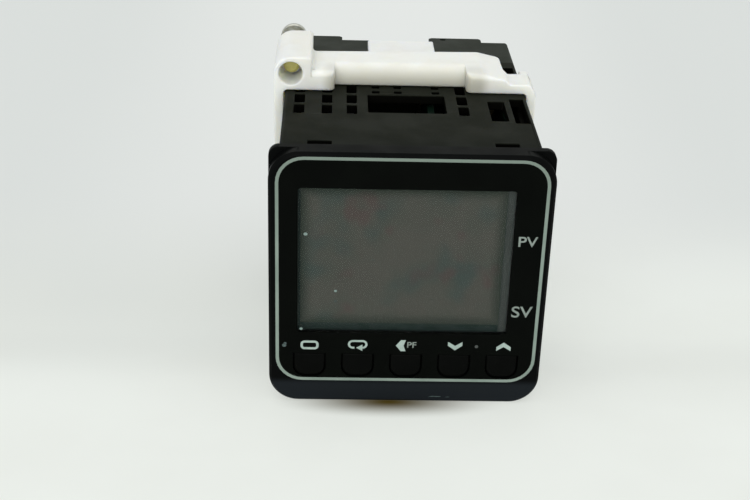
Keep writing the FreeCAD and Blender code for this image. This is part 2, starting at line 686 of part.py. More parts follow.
def make_supply_capacitors():
    """Electrolytic cans that stand on the power board."""
    cans = []
    for y, z in CAPACITOR_PLACES:
        foot = Vector(power_face(), y, z)
        can = Part.makeCylinder(CAPACITOR_RADIUS, CAPACITOR_LENGTH, foot, Vector(1, 0, 0))
        cans.append(can)
    return Part.makeCompound(cans)


def make_surge_varistor():
    """Disc that stands on the power board, on a waist as wide as its leads."""
    y, z = VARISTOR_PLACE
    middle = power_face() + VARISTOR_RADIUS + VARISTOR_LIFT
    disc = rod(VARISTOR_RADIUS, middle, z, y - VARISTOR_THICKNESS / 2, y + VARISTOR_THICKNESS / 2)
    lead = LEAD_THICKNESS / 2
    waist = block(power_face(), middle, y - lead, y + lead, z - VARISTOR_LEADS / 2, z + VARISTOR_LEADS / 2)
    return disc.fuse(waist).removeSplitter()


def make_relay(side):
    face = SIDE_BOARD_X - BOARD_THICKNESS / 2
    x = face - RELAY_DEPTH / 2
    return centred_block(x, RELAY_Y, side * RELAY_Z, RELAY_DEPTH, RELAY_LENGTH, RELAY_HEIGHT)


def make_processor_chip():
    face = INPUT_BOARD_X - BOARD_THICKNESS / 2
    return centred_block(face - CHIP_THICKNESS / 2, CHIP_Y, 0, CHIP_THICKNESS, CHIP_SIZE, CHIP_SIZE)


def make_signal_chips():
    face = INPUT_BOARD_X + BOARD_THICKNESS / 2
    return Part.makeCompound([
        centred_block(
            face + CHIP_THICKNESS / 2, y, z, CHIP_THICKNESS, SIGNAL_CHIP_LENGTH, SIGNAL_CHIP_WIDTH
        )
        for y, z in SIGNAL_CHIP_PLACES
    ])


# ---- Case ----------------------------------------------------------------------------------------
def vent_places():
    """Openings of the case's top, each (x, width, front, length)."""
    places = [(0, GRILLE_WIDTH, GRILLE_FRONT, GRILLE_LENGTH)]
    for inset, width, front, length in SIDE_VENTS:
        places.append((CASE_HALF - inset, width, front, length))
    for inset in VENT_COLUMNS:
        for row in range(VENT_ROWS):
            front = VENT_FIRST_Y + row * VENT_PITCH - VENT_LENGTH / 2
            places.append((inset - CASE_HALF, VENT_WIDTH, front, VENT_LENGTH))
    for x in LADDER_COLUMNS:
        for step in range(LADDER_STEPS):
            front = LADDER_FIRST_Y + step * LADDER_PITCH - LADDER_HOLE / 2
            places.append((x, LADDER_HOLE, front, LADDER_HOLE))
    for x in LATCH_PLACES:
        places.append((x, LATCH_WINDOW_WIDTH, LATCH_Y - LATCH_WINDOW_LENGTH / 2, LATCH_WINDOW_LENGTH))
    return places


def guide_ribs(board_x):
    """Pair of short ribs under the case's top, in front of the vents, that hold a board's edge."""
    ribs = []
    for side in (-1, 1):
        inner = BOARD_THICKNESS / 2 + BOARD_GAP
        x0, x1 = sorted((board_x + side * inner, board_x + side * (inner + GUIDE_RIB_WIDTH)))
        rib_rear = GUIDE_RIB_START + GUIDE_RIB_LENGTH
        ribs.append(block(x0, x1, GUIDE_RIB_START, rib_rear, CASE_INNER - GUIDE_RIB_HEIGHT, CASE_INNER))
    return ribs


def make_rear_case():
    case = prism_along_y(square(CASE_HALF, CASE_CORNER), -CASE_SEAT_DEPTH, CASE_LENGTH)
    case = case.cut(prism_along_y(square(CASE_INNER), -1, CASE_LENGTH + 1))
    ribs = []
    for x in (-SIDE_BOARD_X, INPUT_BOARD_X, SIDE_BOARD_X):
        ribs += guide_ribs(x)
    ribs += [upside_down(rib) for rib in ribs]
    openings = []
    for x, width, front, length in vent_places():
        half = width / 2
        openings.append(block(x - half, x + half, front, front + length, CASE_INNER - 1, CASE_HALF + 1))
    openings += [upside_down(opening) for opening in openings]
    return case.cut(openings).fuse(ribs).removeSplitter()


# ---- Terminal block ------------------------------------------------------------------------------
def terminal_pocket(column, x, z):
    """Pocket for a terminal, open to the side in the outer columns."""
    pocket = centred_block(x, POCKET_FLOOR, z, POCKET_WIDTH, POCKET_DEPTH + 1, POCKET_HEIGHT)
    side = column - (TERMINAL_COLUMNS - 1) // 2
    if not side:
        return pocket
    x0, x1 = sorted((x, side * (CASE_HALF + 1)))
    half = WIRE_NOTCH_HEIGHT / 2
    return pocket.fuse(block(x0, x1, BLOCK_REAR - WIRE_NOTCH_DEPTH, BLOCK_REAR + 1, z - half, z + half))


def screw_well(x, z):
    """Room in the block for the end of a terminal's screw."""
    size = 2 * (SCREW_RADIUS + WELL_GAP)
    length = TERMINAL_SCREW_LENGTH - PLATE_THICKNESS - WASHER_THICKNESS + WELL_GAP
    return centred_block(x, POCKET_FLOOR - length, z, size, length + 1, size)


def leg_slot(column, z):
    front = CASE_LENGTH - 1
    length = POCKET_FLOOR + 1 - front
    return centred_block(
        leg_place(column), front, z, LEG_THICKNESS + 2 * SLOT_PLAY, length, LEG_WIDTH + 2 * SLOT_PLAY
    )


def cover_tab(x0, x1):
    """Tab behind the block that a terminal cover would clip to."""
    root = BLOCK_REAR - 1
    end = BLOCK_REAR + TAB_LENGTH
    plan = [
        (x0, root), (x1, root), (x1, end - TAB_CHAMFER), (x1 - TAB_CHAMFER, end),
        (x0 + TAB_CHAMFER, end), (x0, end - TAB_CHAMFER),
    ]
    return prism_along_z(plan, CASE_HALF - TAB_THICKNESS, CASE_HALF)


def make_terminal_block():
    body = prism_along_y(square(CASE_HALF, CASE_CORNER), CASE_LENGTH, BLOCK_REAR)
    outer = CASE_INNER - SPIGOT_GAP
    spigot = prism_along_y(square(outer, SPIGOT_CORNER), CASE_LENGTH - SPIGOT_LENGTH, CASE_LENGTH)
    hollow = prism_along_y(square(outer - SPIGOT_WALL), CASE_LENGTH - SPIGOT_LENGTH - 1, CASE_LENGTH)
    spigot = spigot.cut(hollow)
    left = LEFT_TAB_INSET - CASE_HALF
    right = CASE_HALF - RIGHT_TAB_INSET
    hole_place = Vector(
        right - RIGHT_TAB_WIDTH + TAB_HOLE_INSET, BLOCK_REAR + TAB_LENGTH - TAB_HOLE_SETBACK,
        CASE_HALF - TAB_THICKNESS - 1
    )
    hole = Part.makeCylinder(TAB_HOLE_RADIUS, TAB_THICKNESS + 2, hole_place)
    tabs = [cover_tab(left, left + LEFT_TAB_WIDTH), cover_tab(right - RIGHT_TAB_WIDTH, right).cut(hole)]
    tabs += [upside_down(tab) for tab in tabs]
    cuts = []
    for column, x, z in terminal_places():
        cuts += [terminal_pocket(column, x, z), screw_well(x, z), leg_slot(column, z)]
    return fused([body, spigot] + tabs).cut(cuts)


def screw_hole(x, z, y0, y1):
    return flat_sided_bar(2 * (SCREW_RADIUS + SCREW_CLEARANCE), x, z, y0, y1)


def make_terminal_plates():
    """Plate under each screw, with the leg that reaches forward to its board."""
    plates = []
    rear = POCKET_FLOOR + PLATE_THICKNESS
    for column, x, z in terminal_places():
        leg_x = leg_place(column)
        side = math.copysign(1, leg_x - x)
        leg_edge = leg_x + side * LEG_THICKNESS / 2
        x0, x1 = sorted((leg_edge, leg_edge - side * PLATE_WIDTH))
        plate = block(x0, x1, POCKET_FLOOR, rear, z - PLATE_HEIGHT / 2, z + PLATE_HEIGHT / 2)
        leg = centred_block(leg_x, LEG_FRONT, z, LEG_THICKNESS, rear - LEG_FRONT, LEG_WIDTH)
        plates.append(plate.fuse(leg).removeSplitter().cut(screw_hole(x, z, POCKET_FLOOR - 1, rear + 1)))
    return Part.makeCompound(plates)


def make_terminal_washers():
    """Square washer that clamps the wire under each screw."""
    front = POCKET_FLOOR + PLATE_THICKNESS
    washers = []
    for _, x, z in terminal_places():
        washer = centred_block(x, front, z, WASHER_SIZE, WASHER_THICKNESS, WASHER_SIZE)
        washers.append(washer.cut(screw_hole(x, z, front - 1, front + WASHER_THICKNESS + 1)))
    return Part.makeCompound(washers)


def make_terminal_screws():
    seat = POCKET_FLOOR + PLATE_THICKNESS + WASHER_THICKNESS
    screws = []
    for _, x, z in terminal_places():
        head = rod(SCREW_HEAD_RADIUS, x, z, seat, seat + SCREW_HEAD_HEIGHT)
        shank = flat_sided_bar(2 * SCREW_RADIUS, x, z, seat - TERMINAL_SCREW_LENGTH, seat)
        screws.append(head.fuse(shank))
    return Part.makeCompound(screws)


# ---- Mounting adapter ----------------------------------------------------------------------------
def adapter_front_outline():
    """Upper half of the adapter seen from the front, lug at the upper left."""
    left = -ADAPTER_OUTER
    right = ADAPTER_OUTER
    lug_right = left + LUG_WIDTH
    corner_left = right - CORNER_WIDTH
    corner_top = BAR_TOP - CORNER_DROP
    return [
        (left, 0), (left, LUG_TOP, LUG_ROUND),
        (lug_right, LUG_TOP, LUG_EDGE), (lug_right, BAR_TOP, LUG_EDGE),
        (right - SHOULDER_WIDTH, BAR_TOP, SHOULDER_ROUND), (corner_left, BAR_TOP - SHOULDER_DROP),
        (corner_left + CORNER_STEP, corner_top), (right - CORNER_SLOPE, corner_top, ADAPTER_EDGE),
        (right, CASE_HALF, ADAPTER_EDGE), (right, 0),
    ]


def adapter_plan_outline():
    """Upper half of the adapter seen from above."""
    left = -ADAPTER_OUTER
    right = ADAPTER_OUTER
    front = ADAPTER_Y
    bar = front + BAR_SETBACK
    lobe_left = left + LOBE_LEFT_WIDTH
    lobe_right = right - LOBE_RIGHT_WIDTH
    lug_right = left + LUG_WIDTH
    corner_left = right - CORNER_WIDTH
    return [
        (left, front), (lobe_left, front, ADAPTER_EDGE), (lobe_left, bar), (lobe_right, bar),
        (lobe_right, front, LOBE_ROUND), (right, front), (right, front + CORNER_DEPTH),
        (corner_left, front + CORNER_DEPTH), (corner_left, ADAPTER_REAR, ADAPTER_EDGE),
        (lug_right, ADAPTER_REAR - BAR_TAPER), (lug_right, front + LUG_DEPTH), (left, front + LUG_DEPTH),
    ]


def rounding(y, top, radius, x0, x1):
    """What is cut away to round an upper front edge that runs along X."""
    corner = block(x0, x1, y - 1, y + radius, top - radius, top + 1)
    axis_start = Vector(x0, y + radius, top - radius)
    return corner.cut(Part.makeCylinder(radius, x1 - x0, axis_start, Vector(1, 0, 0)))


def adapter_upper_half():
    height = prism_along_y(adapter_front_outline(), ADAPTER_Y - 1, ADAPTER_Y + LUG_DEPTH + 1)
    plan = prism_along_z(adapter_plan_outline(), ADAPTER_INNER - 1, LUG_TOP + 1)
    upper = height.common(plan)
    bar_y = ADAPTER_Y + BAR_SETBACK
    lobe_left = -ADAPTER_OUTER + LOBE_LEFT_WIDTH
    lobe_right = ADAPTER_OUTER - LOBE_RIGHT_WIDTH
    upper = upper.cut(rounding(bar_y, BAR_TOP, BAR_ROUND, lobe_left, lobe_right))
    lug_right = -ADAPTER_OUTER + LUG_WIDTH
    upper = upper.cut(rounding(ADAPTER_Y, BAR_TOP, LOBE_ROUND, lug_right, ADAPTER_OUTER + 1))
    side = block(ADAPTER_INNER, ADAPTER_OUTER, ADAPTER_Y, ADAPTER_REAR, 0, ADAPTER_INNER)
    side_left = block(-ADAPTER_OUTER, -ADAPTER_INNER, ADAPTER_Y, ADAPTER_REAR, 0, ADAPTER_INNER)
    return fused([upper, side, side_left])


def ratchet_tongue():
    """Springy tongue behind the bar, with the pawl that catches the case's ladder."""
    low = ADAPTER_INNER + TONGUE_LIFT
    high = low + TONGUE_THICKNESS
    root = ADAPTER_REAR - BAR_TAPER - ADAPTER_WALL
    end = ADAPTER_REAR + TONGUE_LENGTH
    pawl = end - PAWL_LENGTH
    profile = [
        (root, low), (pawl, low), (pawl + TONGUE_LIFT, ADAPTER_INNER),
        (end - TONGUE_LIFT, ADAPTER_INNER), (end, low), (end, high, ADAPTER_EDGE), (root, high),
    ]
    return prism_along_x(profile, TONGUE_LEFT, TONGUE_RIGHT)


def make_mounting_adapter():
    upper = fused([adapter_upper_half(), ratchet_tongue()])
    ring = fused([upper, turned(upper)])
    end = ADAPTER_REAR + TONGUE_LENGTH + 1
    inside = prism_along_y(square(ADAPTER_INNER, CASE_CORNER), ADAPTER_Y - 1, end)
    ring = ring.cut(inside)
    recess = rod(RECESS_RADIUS, CLAMP_X, CLAMP_Z, ADAPTER_Y - 1, ADAPTER_Y + RECESS_DEPTH)
    thread = rod(SCREW_RADIUS + SCREW_CLEARANCE, CLAMP_X, CLAMP_Z, ADAPTER_Y, ADAPTER_Y + LUG_DEPTH + 1)
    holes = recess.fuse(thread)
    return ring.cut([holes, turned(holes)])


def make_clamp_screw():
    """M3 screw along Y with its tip at the front and a cross recess in its head."""
    seat = CLAMP_TIP_Y + CLAMP_SCREW_LENGTH
    top = seat + SCREW_HEAD_HEIGHT
    screw = revolved([
        (0, CLAMP_TIP_Y), (SCREW_RADIUS - TIP_CHAMFER, CLAMP_TIP_Y),
        (SCREW_RADIUS, CLAMP_TIP_Y + TIP_CHAMFER),
        (SCREW_RADIUS, seat), (SCREW_HEAD_RADIUS, seat), (SCREW_HEAD_RADIUS, top - HEAD_CHAMFER),
        (SCREW_HEAD_RADIUS - HEAD_CHAMFER, top), (0, top),
    ], CLAMP_X, CLAMP_Z)
    slots = [
        centred_block(CLAMP_X, top - DRIVE_DEPTH, CLAMP_Z, width, DRIVE_DEPTH + 1, height)
        for width, height in ((DRIVE_LENGTH, DRIVE_WIDTH), (DRIVE_WIDTH, DRIVE_LENGTH))
    ]
    return screw.cut(slots)


# ---- Every piece, by name ------------------------------------------------------------------------
def all_pieces():
    pieces = {
        "front_bezel": make_front_bezel(),
        "front_sheet": make_front_sheet(),
        "display_window": make_display_window(),
        "lcd_polariser": make_lcd_polariser(),
        "lcd_panel": make_lcd_panel(),
        "lcd_connectors": make_lcd_connectors(),
        "light_guide": make_light_guide(),
        "lcd_holder": make_lcd_holder(),
        "backlight_leds": make_backlight_leds(),
        "key_pad": make_key_pad(),
        "contact_pills": make_contact_pills(),
        "display_board": make_display_board(),
        "board_connectors": make_board_connectors(),
        "power_board": upright_board(-SIDE_BOARD_X),
        "input_board": upright_board(INPUT_BOARD_X),
        "output_board": upright_board(SIDE_BOARD_X),
        "transformer_core": make_transformer_core(),
        "transformer_winding": make_transformer_winding(),
        "supply_capacitors": make_supply_capacitors(),
        "surge_varistor": make_surge_varistor(),
        "control_relay": make_relay(1),
        "alarm_relay": make_relay(-1),
        "processor_chip": make_processor_chip(),
        "signal_chips": make_signal_chips(),
        "rear_case": make_rear_case(),
        "terminal_block": make_terminal_block(),
        "terminal_plates": make_terminal_plates(),
        "terminal_washers": make_terminal_washers(),
        "terminal_screws": make_terminal_screws(),
        "mounting_adapter": make_mounting_adapter(),
        "upper_clamp_screw": make_clamp_screw(),
        "lower_clamp_screw": turned(make_clamp_screw()),
    }
    for name, x in zip(KEY_NAMES, key_centres()):
        pieces[name] = make_key(x)
    return pieces


os.makedirs("parts", exist_ok=True)
for node, shape in all_pieces().items():
    shape.exportStep("parts/" + node + ".step")
    print(node, "solids", len(shape.Solids), "valid", shape.isValid(), "volume", round(shape.Volume, 2))
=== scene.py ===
"""Looks of a panel-mounted temperature controller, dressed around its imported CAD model.

Lengths are in metres. X is right seen from the front, Y runs back through the panel, Z is up.
"""

import json
import math

import bmesh
import bpy
from mathutils import Matrix, Vector

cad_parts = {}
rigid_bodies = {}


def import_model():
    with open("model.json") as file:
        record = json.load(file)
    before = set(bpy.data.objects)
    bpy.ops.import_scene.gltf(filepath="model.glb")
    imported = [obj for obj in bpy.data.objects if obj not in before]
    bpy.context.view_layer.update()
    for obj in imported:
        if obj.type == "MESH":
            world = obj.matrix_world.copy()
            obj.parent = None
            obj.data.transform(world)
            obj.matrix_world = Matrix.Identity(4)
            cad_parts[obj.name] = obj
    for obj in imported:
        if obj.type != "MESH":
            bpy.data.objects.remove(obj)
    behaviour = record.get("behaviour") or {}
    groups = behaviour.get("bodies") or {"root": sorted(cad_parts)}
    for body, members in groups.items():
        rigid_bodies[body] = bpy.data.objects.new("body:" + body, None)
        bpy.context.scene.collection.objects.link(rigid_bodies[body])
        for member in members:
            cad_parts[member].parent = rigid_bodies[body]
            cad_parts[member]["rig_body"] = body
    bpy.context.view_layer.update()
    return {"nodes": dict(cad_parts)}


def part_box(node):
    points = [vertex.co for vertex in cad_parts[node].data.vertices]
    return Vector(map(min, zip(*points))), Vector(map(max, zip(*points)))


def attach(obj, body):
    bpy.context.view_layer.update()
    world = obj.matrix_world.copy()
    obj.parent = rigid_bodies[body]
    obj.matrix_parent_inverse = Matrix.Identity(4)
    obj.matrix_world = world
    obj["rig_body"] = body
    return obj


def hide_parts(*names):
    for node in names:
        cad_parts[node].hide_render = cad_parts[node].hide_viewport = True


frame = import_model()
NODES = frame["nodes"]

MM = 0.001
KEYS = ("level_key", "mode_key", "shift_key", "down_key", "up_key")

# ---- Places read from the CAD --------------------------------------------------------------------
BEZEL_LOW, BEZEL_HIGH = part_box("front_bezel")
FACE_Y = BEZEL_LOW.y
ADAPTER_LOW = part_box("mounting_adapter")[0]

# ---- Measures of the edges, the print and the screws ---------------------------------------------
BEZEL_CORNER = 4.9 * MM         # radius of the bezel's lower corners
CORNER_CUTS = 9                 # flat cuts that make one such corner
WALL_LEAST = 1.2 * MM           # a hole's corner edge is about as long as the case's wall is thick
WALL_MOST = 2.0 * MM
HOLE_TURN = -60.0               # degrees: such an edge turns inwards by more than this
OUTER_TURN = 34.0               # degrees: an edge that turns outwards by more than this is rounded
SHADE_TURN = 32.0               # degrees: shading is smooth over an edge that turns by less than this
FLAT_TURN = 1.2                 # degrees: faces that differ by less than this become one
SAME_POINT = 0.002 * MM         # points nearer to each other than this become one
FINE_POINT = 0.001 * MM         # the same, on the scene's own solids
PRINT_RISE = 0.012 * MM         # thickness of printed ink
LETTER_WEIGHT = 0.01            # how much a letter's outline grows, as a share of its size
HEAD_HEIGHT = 1.9 * MM          # of an M3 screw
HEAD_RADIUS = 2.6 * MM
SCREW_SIDES = 32
RECESS_WIDTH = 0.72 * MM        # across one arm of a screw's cross recess


# ---- Mesh helpers --------------------------------------------------------------------------------
def finish_mesh(name, bm, body, recalc=True):
    """Object from a bmesh, at the origin, with soft shading across its shallow edges."""
    if recalc:
        bmesh.ops.recalc_face_normals(bm, faces=bm.faces)
    mesh = bpy.data.meshes.new(name)
    bm.to_mesh(mesh)
    bm.free()
    for polygon in mesh.polygons:
        polygon.use_smooth = True
    mesh.set_sharp_from_angle(angle=math.radians(SHADE_TURN))
    piece = bpy.data.objects.new(name, mesh)
    bpy.context.scene.collection.objects.link(piece)
    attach(piece, body)
    return piece


def round_edges(bm, edges, width, segments):
    """Rounds some edges by one width."""
    bmesh.ops.bevel(
        bm, geom=edges, offset=width, offset_type="OFFSET", segments=segments, profile=0.5,
        affect="EDGES", clamp_overlap=False, material=-1,
    )


def edge_turn(edge):
    """How far an edge turns, in degrees: over 0 on an outer edge, under 0 in an inner corner."""
    return math.degrees(edge.calc_face_angle_signed(0)) if len(edge.link_faces) == 2 else 0.0


def trim_corner(bm, side, reach, rounding):
    """Rounds one lower corner of a square plate of half-width reach by cutting along the arc's tangents."""
    centre = Vector((side * (reach - rounding), 0, rounding - reach))
    for i in range(CORNER_CUTS):
        turn = math.radians(90) * (i + 0.5) / CORNER_CUTS
        outwards = Vector((side * math.cos(turn), 0, -math.sin(turn)))
        made = bmesh.ops.bisect_plane(
            bm, geom=bm.verts[:] + bm.edges[:] + bm.faces[:], dist=FINE_POINT,
            plane_co=centre + outwards * rounding, plane_no=outwards, clear_outer=True, clear_inner=False,
        )
        cut = [part for part in made["geom_cut"] if isinstance(part, bmesh.types.BMEdge)]
        bmesh.ops.holes_fill(bm, edges=[edge for edge in cut if edge.is_boundary], sides=0)


def is_hole_corner(edge):
    """Whether an edge runs through the case's wall in the corner of an opening."""
    run = edge.verts[0].co - edge.verts[1].co
    across = WALL_LEAST < run.length < WALL_MOST and abs(run.y) < 0.1 * run.length
    return across and edge_turn(edge) < HOLE_TURN


def in_side_wall(edge, low, high, at_start=False):
    """Whether an edge lies in a side wall of a case, away from the case's ends and corners.

    at_start measures how far the edge is from the wall at its first point, and not at its middle.
    """
    middle = (edge.verts[0].co + edge.verts[1].co) / 2
    place = edge.verts[0].co if at_start else middle
    nearest, other = sorted((abs(abs(place.x) - high.x), abs(abs(place.z) - high.z)))
    return low.y + WALL_MOST < middle.y < high.y - WALL_MOST and nearest < WALL_MOST < other


def softened(node, width, segments, name, body, windows=None, trimmed=None):
    """Copy of a CAD node with its outer edges rounded over, which stands in the node's place.

    windows = (corner, rim) also rounds the corners and the rims of the small openings in a walled case.
    trimmed = (reach, rounding) first cuts the lower corners of a square plate round.
    """
    low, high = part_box(node)
    bm = bmesh.new()
    bm.from_mesh(NODES[node].data)
    bmesh.ops.remove_doubles(bm, verts=bm.verts, dist=SAME_POINT)
    bmesh.ops.dissolve_limit(bm, angle_limit=math.radians(FLAT_TURN), verts=bm.verts, edges=bm.edges)
    if trimmed:
        for side in (-1, 1):
            trim_corner(bm, side, *trimmed)
    if windows:
        corner, rim = windows
        round_edges(bm, [edge for edge in bm.edges if is_hole_corner(edge)], corner, 3)
        bmesh.ops.triangulate(bm, faces=[face for face in bm.faces if len(face.verts) > 4])
        turned = [edge for edge in bm.edges if edge_turn(edge) > OUTER_TURN]
        round_edges(bm, [edge for edge in turned if in_side_wall(edge, low, high)], rim, 1)
    turned = [edge for edge in bm.edges if edge_turn(edge) > OUTER_TURN]
    if windows:
        turned = [edge for edge in turned if not in_side_wall(edge, low, high, at_start=True)]
    round_edges(bm, turned, width, segments)
    piece = finish_mesh(name, bm, body, recalc=False)
    weighted = piece.modifiers.new("even_shading", "WEIGHTED_NORMAL")
    weighted.keep_sharp = True
    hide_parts(node)
    return piece


def outline_face(bm, points, y, rounding=0.0):
    """Flat face that looks forward, from (x, z) points, with its corners rounded by one radius."""
    corners = [bm.verts.new((x, y, z)) for x, z in points]
    bm.faces.new(corners)
    if rounding:
        bmesh.ops.bevel(
            bm, geom=corners, offset=rounding, offset_type="OFFSET", segments=8, profile=0.5,
            affect="VERTICES", clamp_overlap=False, material=-1,
        )


def thicken(bm, depth):
    """Gives flat faces a depth towards the back."""
    made = bmesh.ops.extrude_face_region(bm, geom=bm.faces[:])
    moved = [part for part in made["geom"] if isinstance(part, bmesh.types.BMVert)]
    bmesh.ops.translate(bm, vec=(0, depth, 0), verts=moved)


def printed(name, outlines, material):
    """Ink on the face, from lists of (x, z) points in millimetres."""
    bm = bmesh.new()
    for points in outlines:
        part = bmesh.new()
        outline_face(part, [(x * MM, z * MM) for x, z in points], FACE_Y - PRINT_RISE)
        thicken(part, PRINT_RISE)
        mesh = bpy.data.meshes.new("part")
        part.to_mesh(mesh)
        part.free()
        bm.from_mesh(mesh)
        bpy.data.meshes.remove(mesh)
    piece = finish_mesh(name, bm, "housing")
    piece.data.materials.append(material)


def ring(name, box, rounding, width, material):
    """Printed rounded frame of even width, whose outer edge is box = (x0, x1, z0, z1), all in millimetres."""
    x0, x1, z0, z1 = [value * MM for value in box]
    bm = bmesh.new()
    outline_face(bm, [(x0, z0), (x1, z0), (x1, z1), (x0, z1)], FACE_Y - PRINT_RISE, rounding * MM)
    face = bm.faces[:]
    bmesh.ops.inset_region(bm, faces=face, thickness=width * MM, use_even_offset=True, use_boundary=True)
    bmesh.ops.delete(bm, geom=face, context="FACES")
    thicken(bm, PRINT_RISE)
    piece = finish_mesh(name, bm, "housing")
    piece.data.materials.append(material)


def lettering(name, words, box, material):
    """Upright sans letters that fill box = (x0, x1, z0, z1), in millimetres."""
    curve = bpy.data.curves.new(name, "FONT")
    curve.body = words
    curve.offset = LETTER_WEIGHT
    curve.resolution_u = 6
    maker = bpy.data.objects.new(name + "_curve", curve)
    bpy.context.scene.collection.objects.link(maker)
    bpy.context.view_layer.update()
    mesh = bpy.data.meshes.new_from_object(maker.evaluated_get(bpy.context.evaluated_depsgraph_get()))
    bpy.data.objects.remove(maker)
    bm = bmesh.new()
    bm.from_mesh(mesh)
    bpy.data.meshes.remove(mesh)
    xs = [vert.co.x for vert in bm.verts]
    ys = [vert.co.y for vert in bm.verts]
    x0, x1, z0, z1 = [value * MM for value in box]
    for vert in bm.verts:
        across = (vert.co.x - min(xs)) / (max(xs) - min(xs))
        up = (vert.co.y - min(ys)) / (max(ys) - min(ys))
        vert.co = (x0 + across * (x1 - x0), FACE_Y - PRINT_RISE, z0 + up * (z1 - z0))
    thicken(bm, PRINT_RISE)
    piece = finish_mesh(name, bm, "housing")
    piece.data.materials.append(material)


def circle(x, z, radius, sides, stretch=1.0):
    """Points of a flat circle, or of one made wider by a share."""
    return [
        (x + radius * math.cos(i * math.tau / sides) * stretch, z + radius * math.sin(i * math.tau / sides))
        for i in range(sides)
    ]


def turned_profile(bm, profile):
    """Solid of revolution about the Y axis from (radius, y) points that start and end on the axis."""
    points = [bm.verts.new((radius, y, 0)) for radius, y in profile]
    sides = [bm.edges.new(pair) for pair in zip(points, points[1:])]
    bmesh.ops.spin(
        bm, geom=points + sides, cent=(0, 0, 0), axis=(0, 1, 0), angle=math.tau, steps=SCREW_SIDES,
        use_merge=True,
    )
    bmesh.ops.remove_doubles(bm, verts=bm.verts, dist=FINE_POINT)
    bmesh.ops.recalc_face_normals(bm, faces=bm.faces)


def with_cross_cut(bm, top, length, depth, slot_length):
    """Cuts a cross recess, and a shallower slot along one of its arms, into a screw head at y = top."""
    width = RECESS_WIDTH
    arms = ((length, width, depth), (width, length, depth), (slot_length, width * 0.8, depth * 0.5))
    body = bpy.data.meshes.new("head")
    bm.to_mesh(body)
    bm.free()
    head = bpy.data.objects.new("head", body)
    cutter_mesh = bmesh.new()
    for across, along, deep in arms:
        made = bmesh.ops.create_cube(cutter_mesh, size=1.0)
        bmesh.ops.scale(cutter_mesh, vec=(across, deep * 2, along), verts=made["verts"])
        lower = [vert for vert in made["verts"] if vert.co.y < 0]
        bmesh.ops.scale(cutter_mesh, vec=(0.82, 1, 0.82), verts=lower)
        bmesh.ops.translate(cutter_mesh, vec=(0, top, 0), verts=made["verts"])
    cutter_data = bpy.data.meshes.new("cutter")
    cutter_mesh.to_mesh(cutter_data)
    cutter_mesh.free()
    cutter = bpy.data.objects.new("cutter", cutter_data)
    for item in (head, cutter):
        bpy.context.scene.collection.objects.link(item)
    cut = head.modifiers.new("cut", "BOOLEAN")
    cut.operation = "DIFFERENCE"
    cut.solver = "EXACT"
    cut.use_self = True
    cut.object = cutter
    bpy.context.view_layer.update()
    result = bpy.data.meshes.new_from_object(head.evaluated_get(bpy.context.evaluated_depsgraph_get()))
    for item in (head, cutter):
        bpy.data.objects.remove(item)
    return result


# ---- Materials -----------------------------------------------------------------------------------
def tone(red, green, blue):
    """Linear colour from ordinary 0-255 values."""
    parts = []
    for value in (red, green, blue):
        value = value / 255
        parts.append(value / 12.92 if value <= 0.04045 else ((value + 0.055) / 1.055) ** 2.4)
    return (*parts, 1.0)


def add(tree, kind, inputs=None, **settings):
    """Shader node with its inputs set, or linked where the value is another node's socket."""
    made = tree.nodes.new("ShaderNode" + kind)
    for key, value in settings.items():
        setattr(made, key, value)
    for key, value in (inputs or {}).items():
        if isinstance(value, bpy.types.NodeSocket):
            tree.links.new(value, made.inputs[key])
        else:
            made.inputs[key].default_value = value
    return made


def mixed(tree, factor, first, second):
    """Colour between two colours."""
    return add(tree, "Mix", {0: factor, 6: first, 7: second}, data_type="RGBA").outputs[2]


def stretched(tree, value, low, high, to_low=0.0, to_high=1.0):
    """Smooth step from one range to another. A range that falls turns the step round."""
    inputs = {"Value": value, "From Min": low, "From Max": high, "To Min": to_low, "To Max": to_high}
    return add(tree, "MapRange", inputs, interpolation_type="SMOOTHSTEP").outputs[0]


def worked(tree, operation, first, second=0.0):
    """Result of one arithmetic step."""
    return add(tree, "Math", {0: first, 1: second}, operation=operation).outputs[0]


def new_group(name, inputs, outputs):
    """Empty node group, with what comes in and what goes out."""
    group = bpy.data.node_groups.new(name, "ShaderNodeTree")
    for label, kind, value in inputs:
        socket = group.interface.new_socket(label, in_out="INPUT", socket_type="NodeSocket" + kind)
        socket.default_value = value
    for label, kind in outputs:
        group.interface.new_socket(label, in_out="OUTPUT", socket_type="NodeSocket" + kind)
    return group, group.nodes.new("NodeGroupInput").outputs, group.nodes.new("NodeGroupOutput").inputs


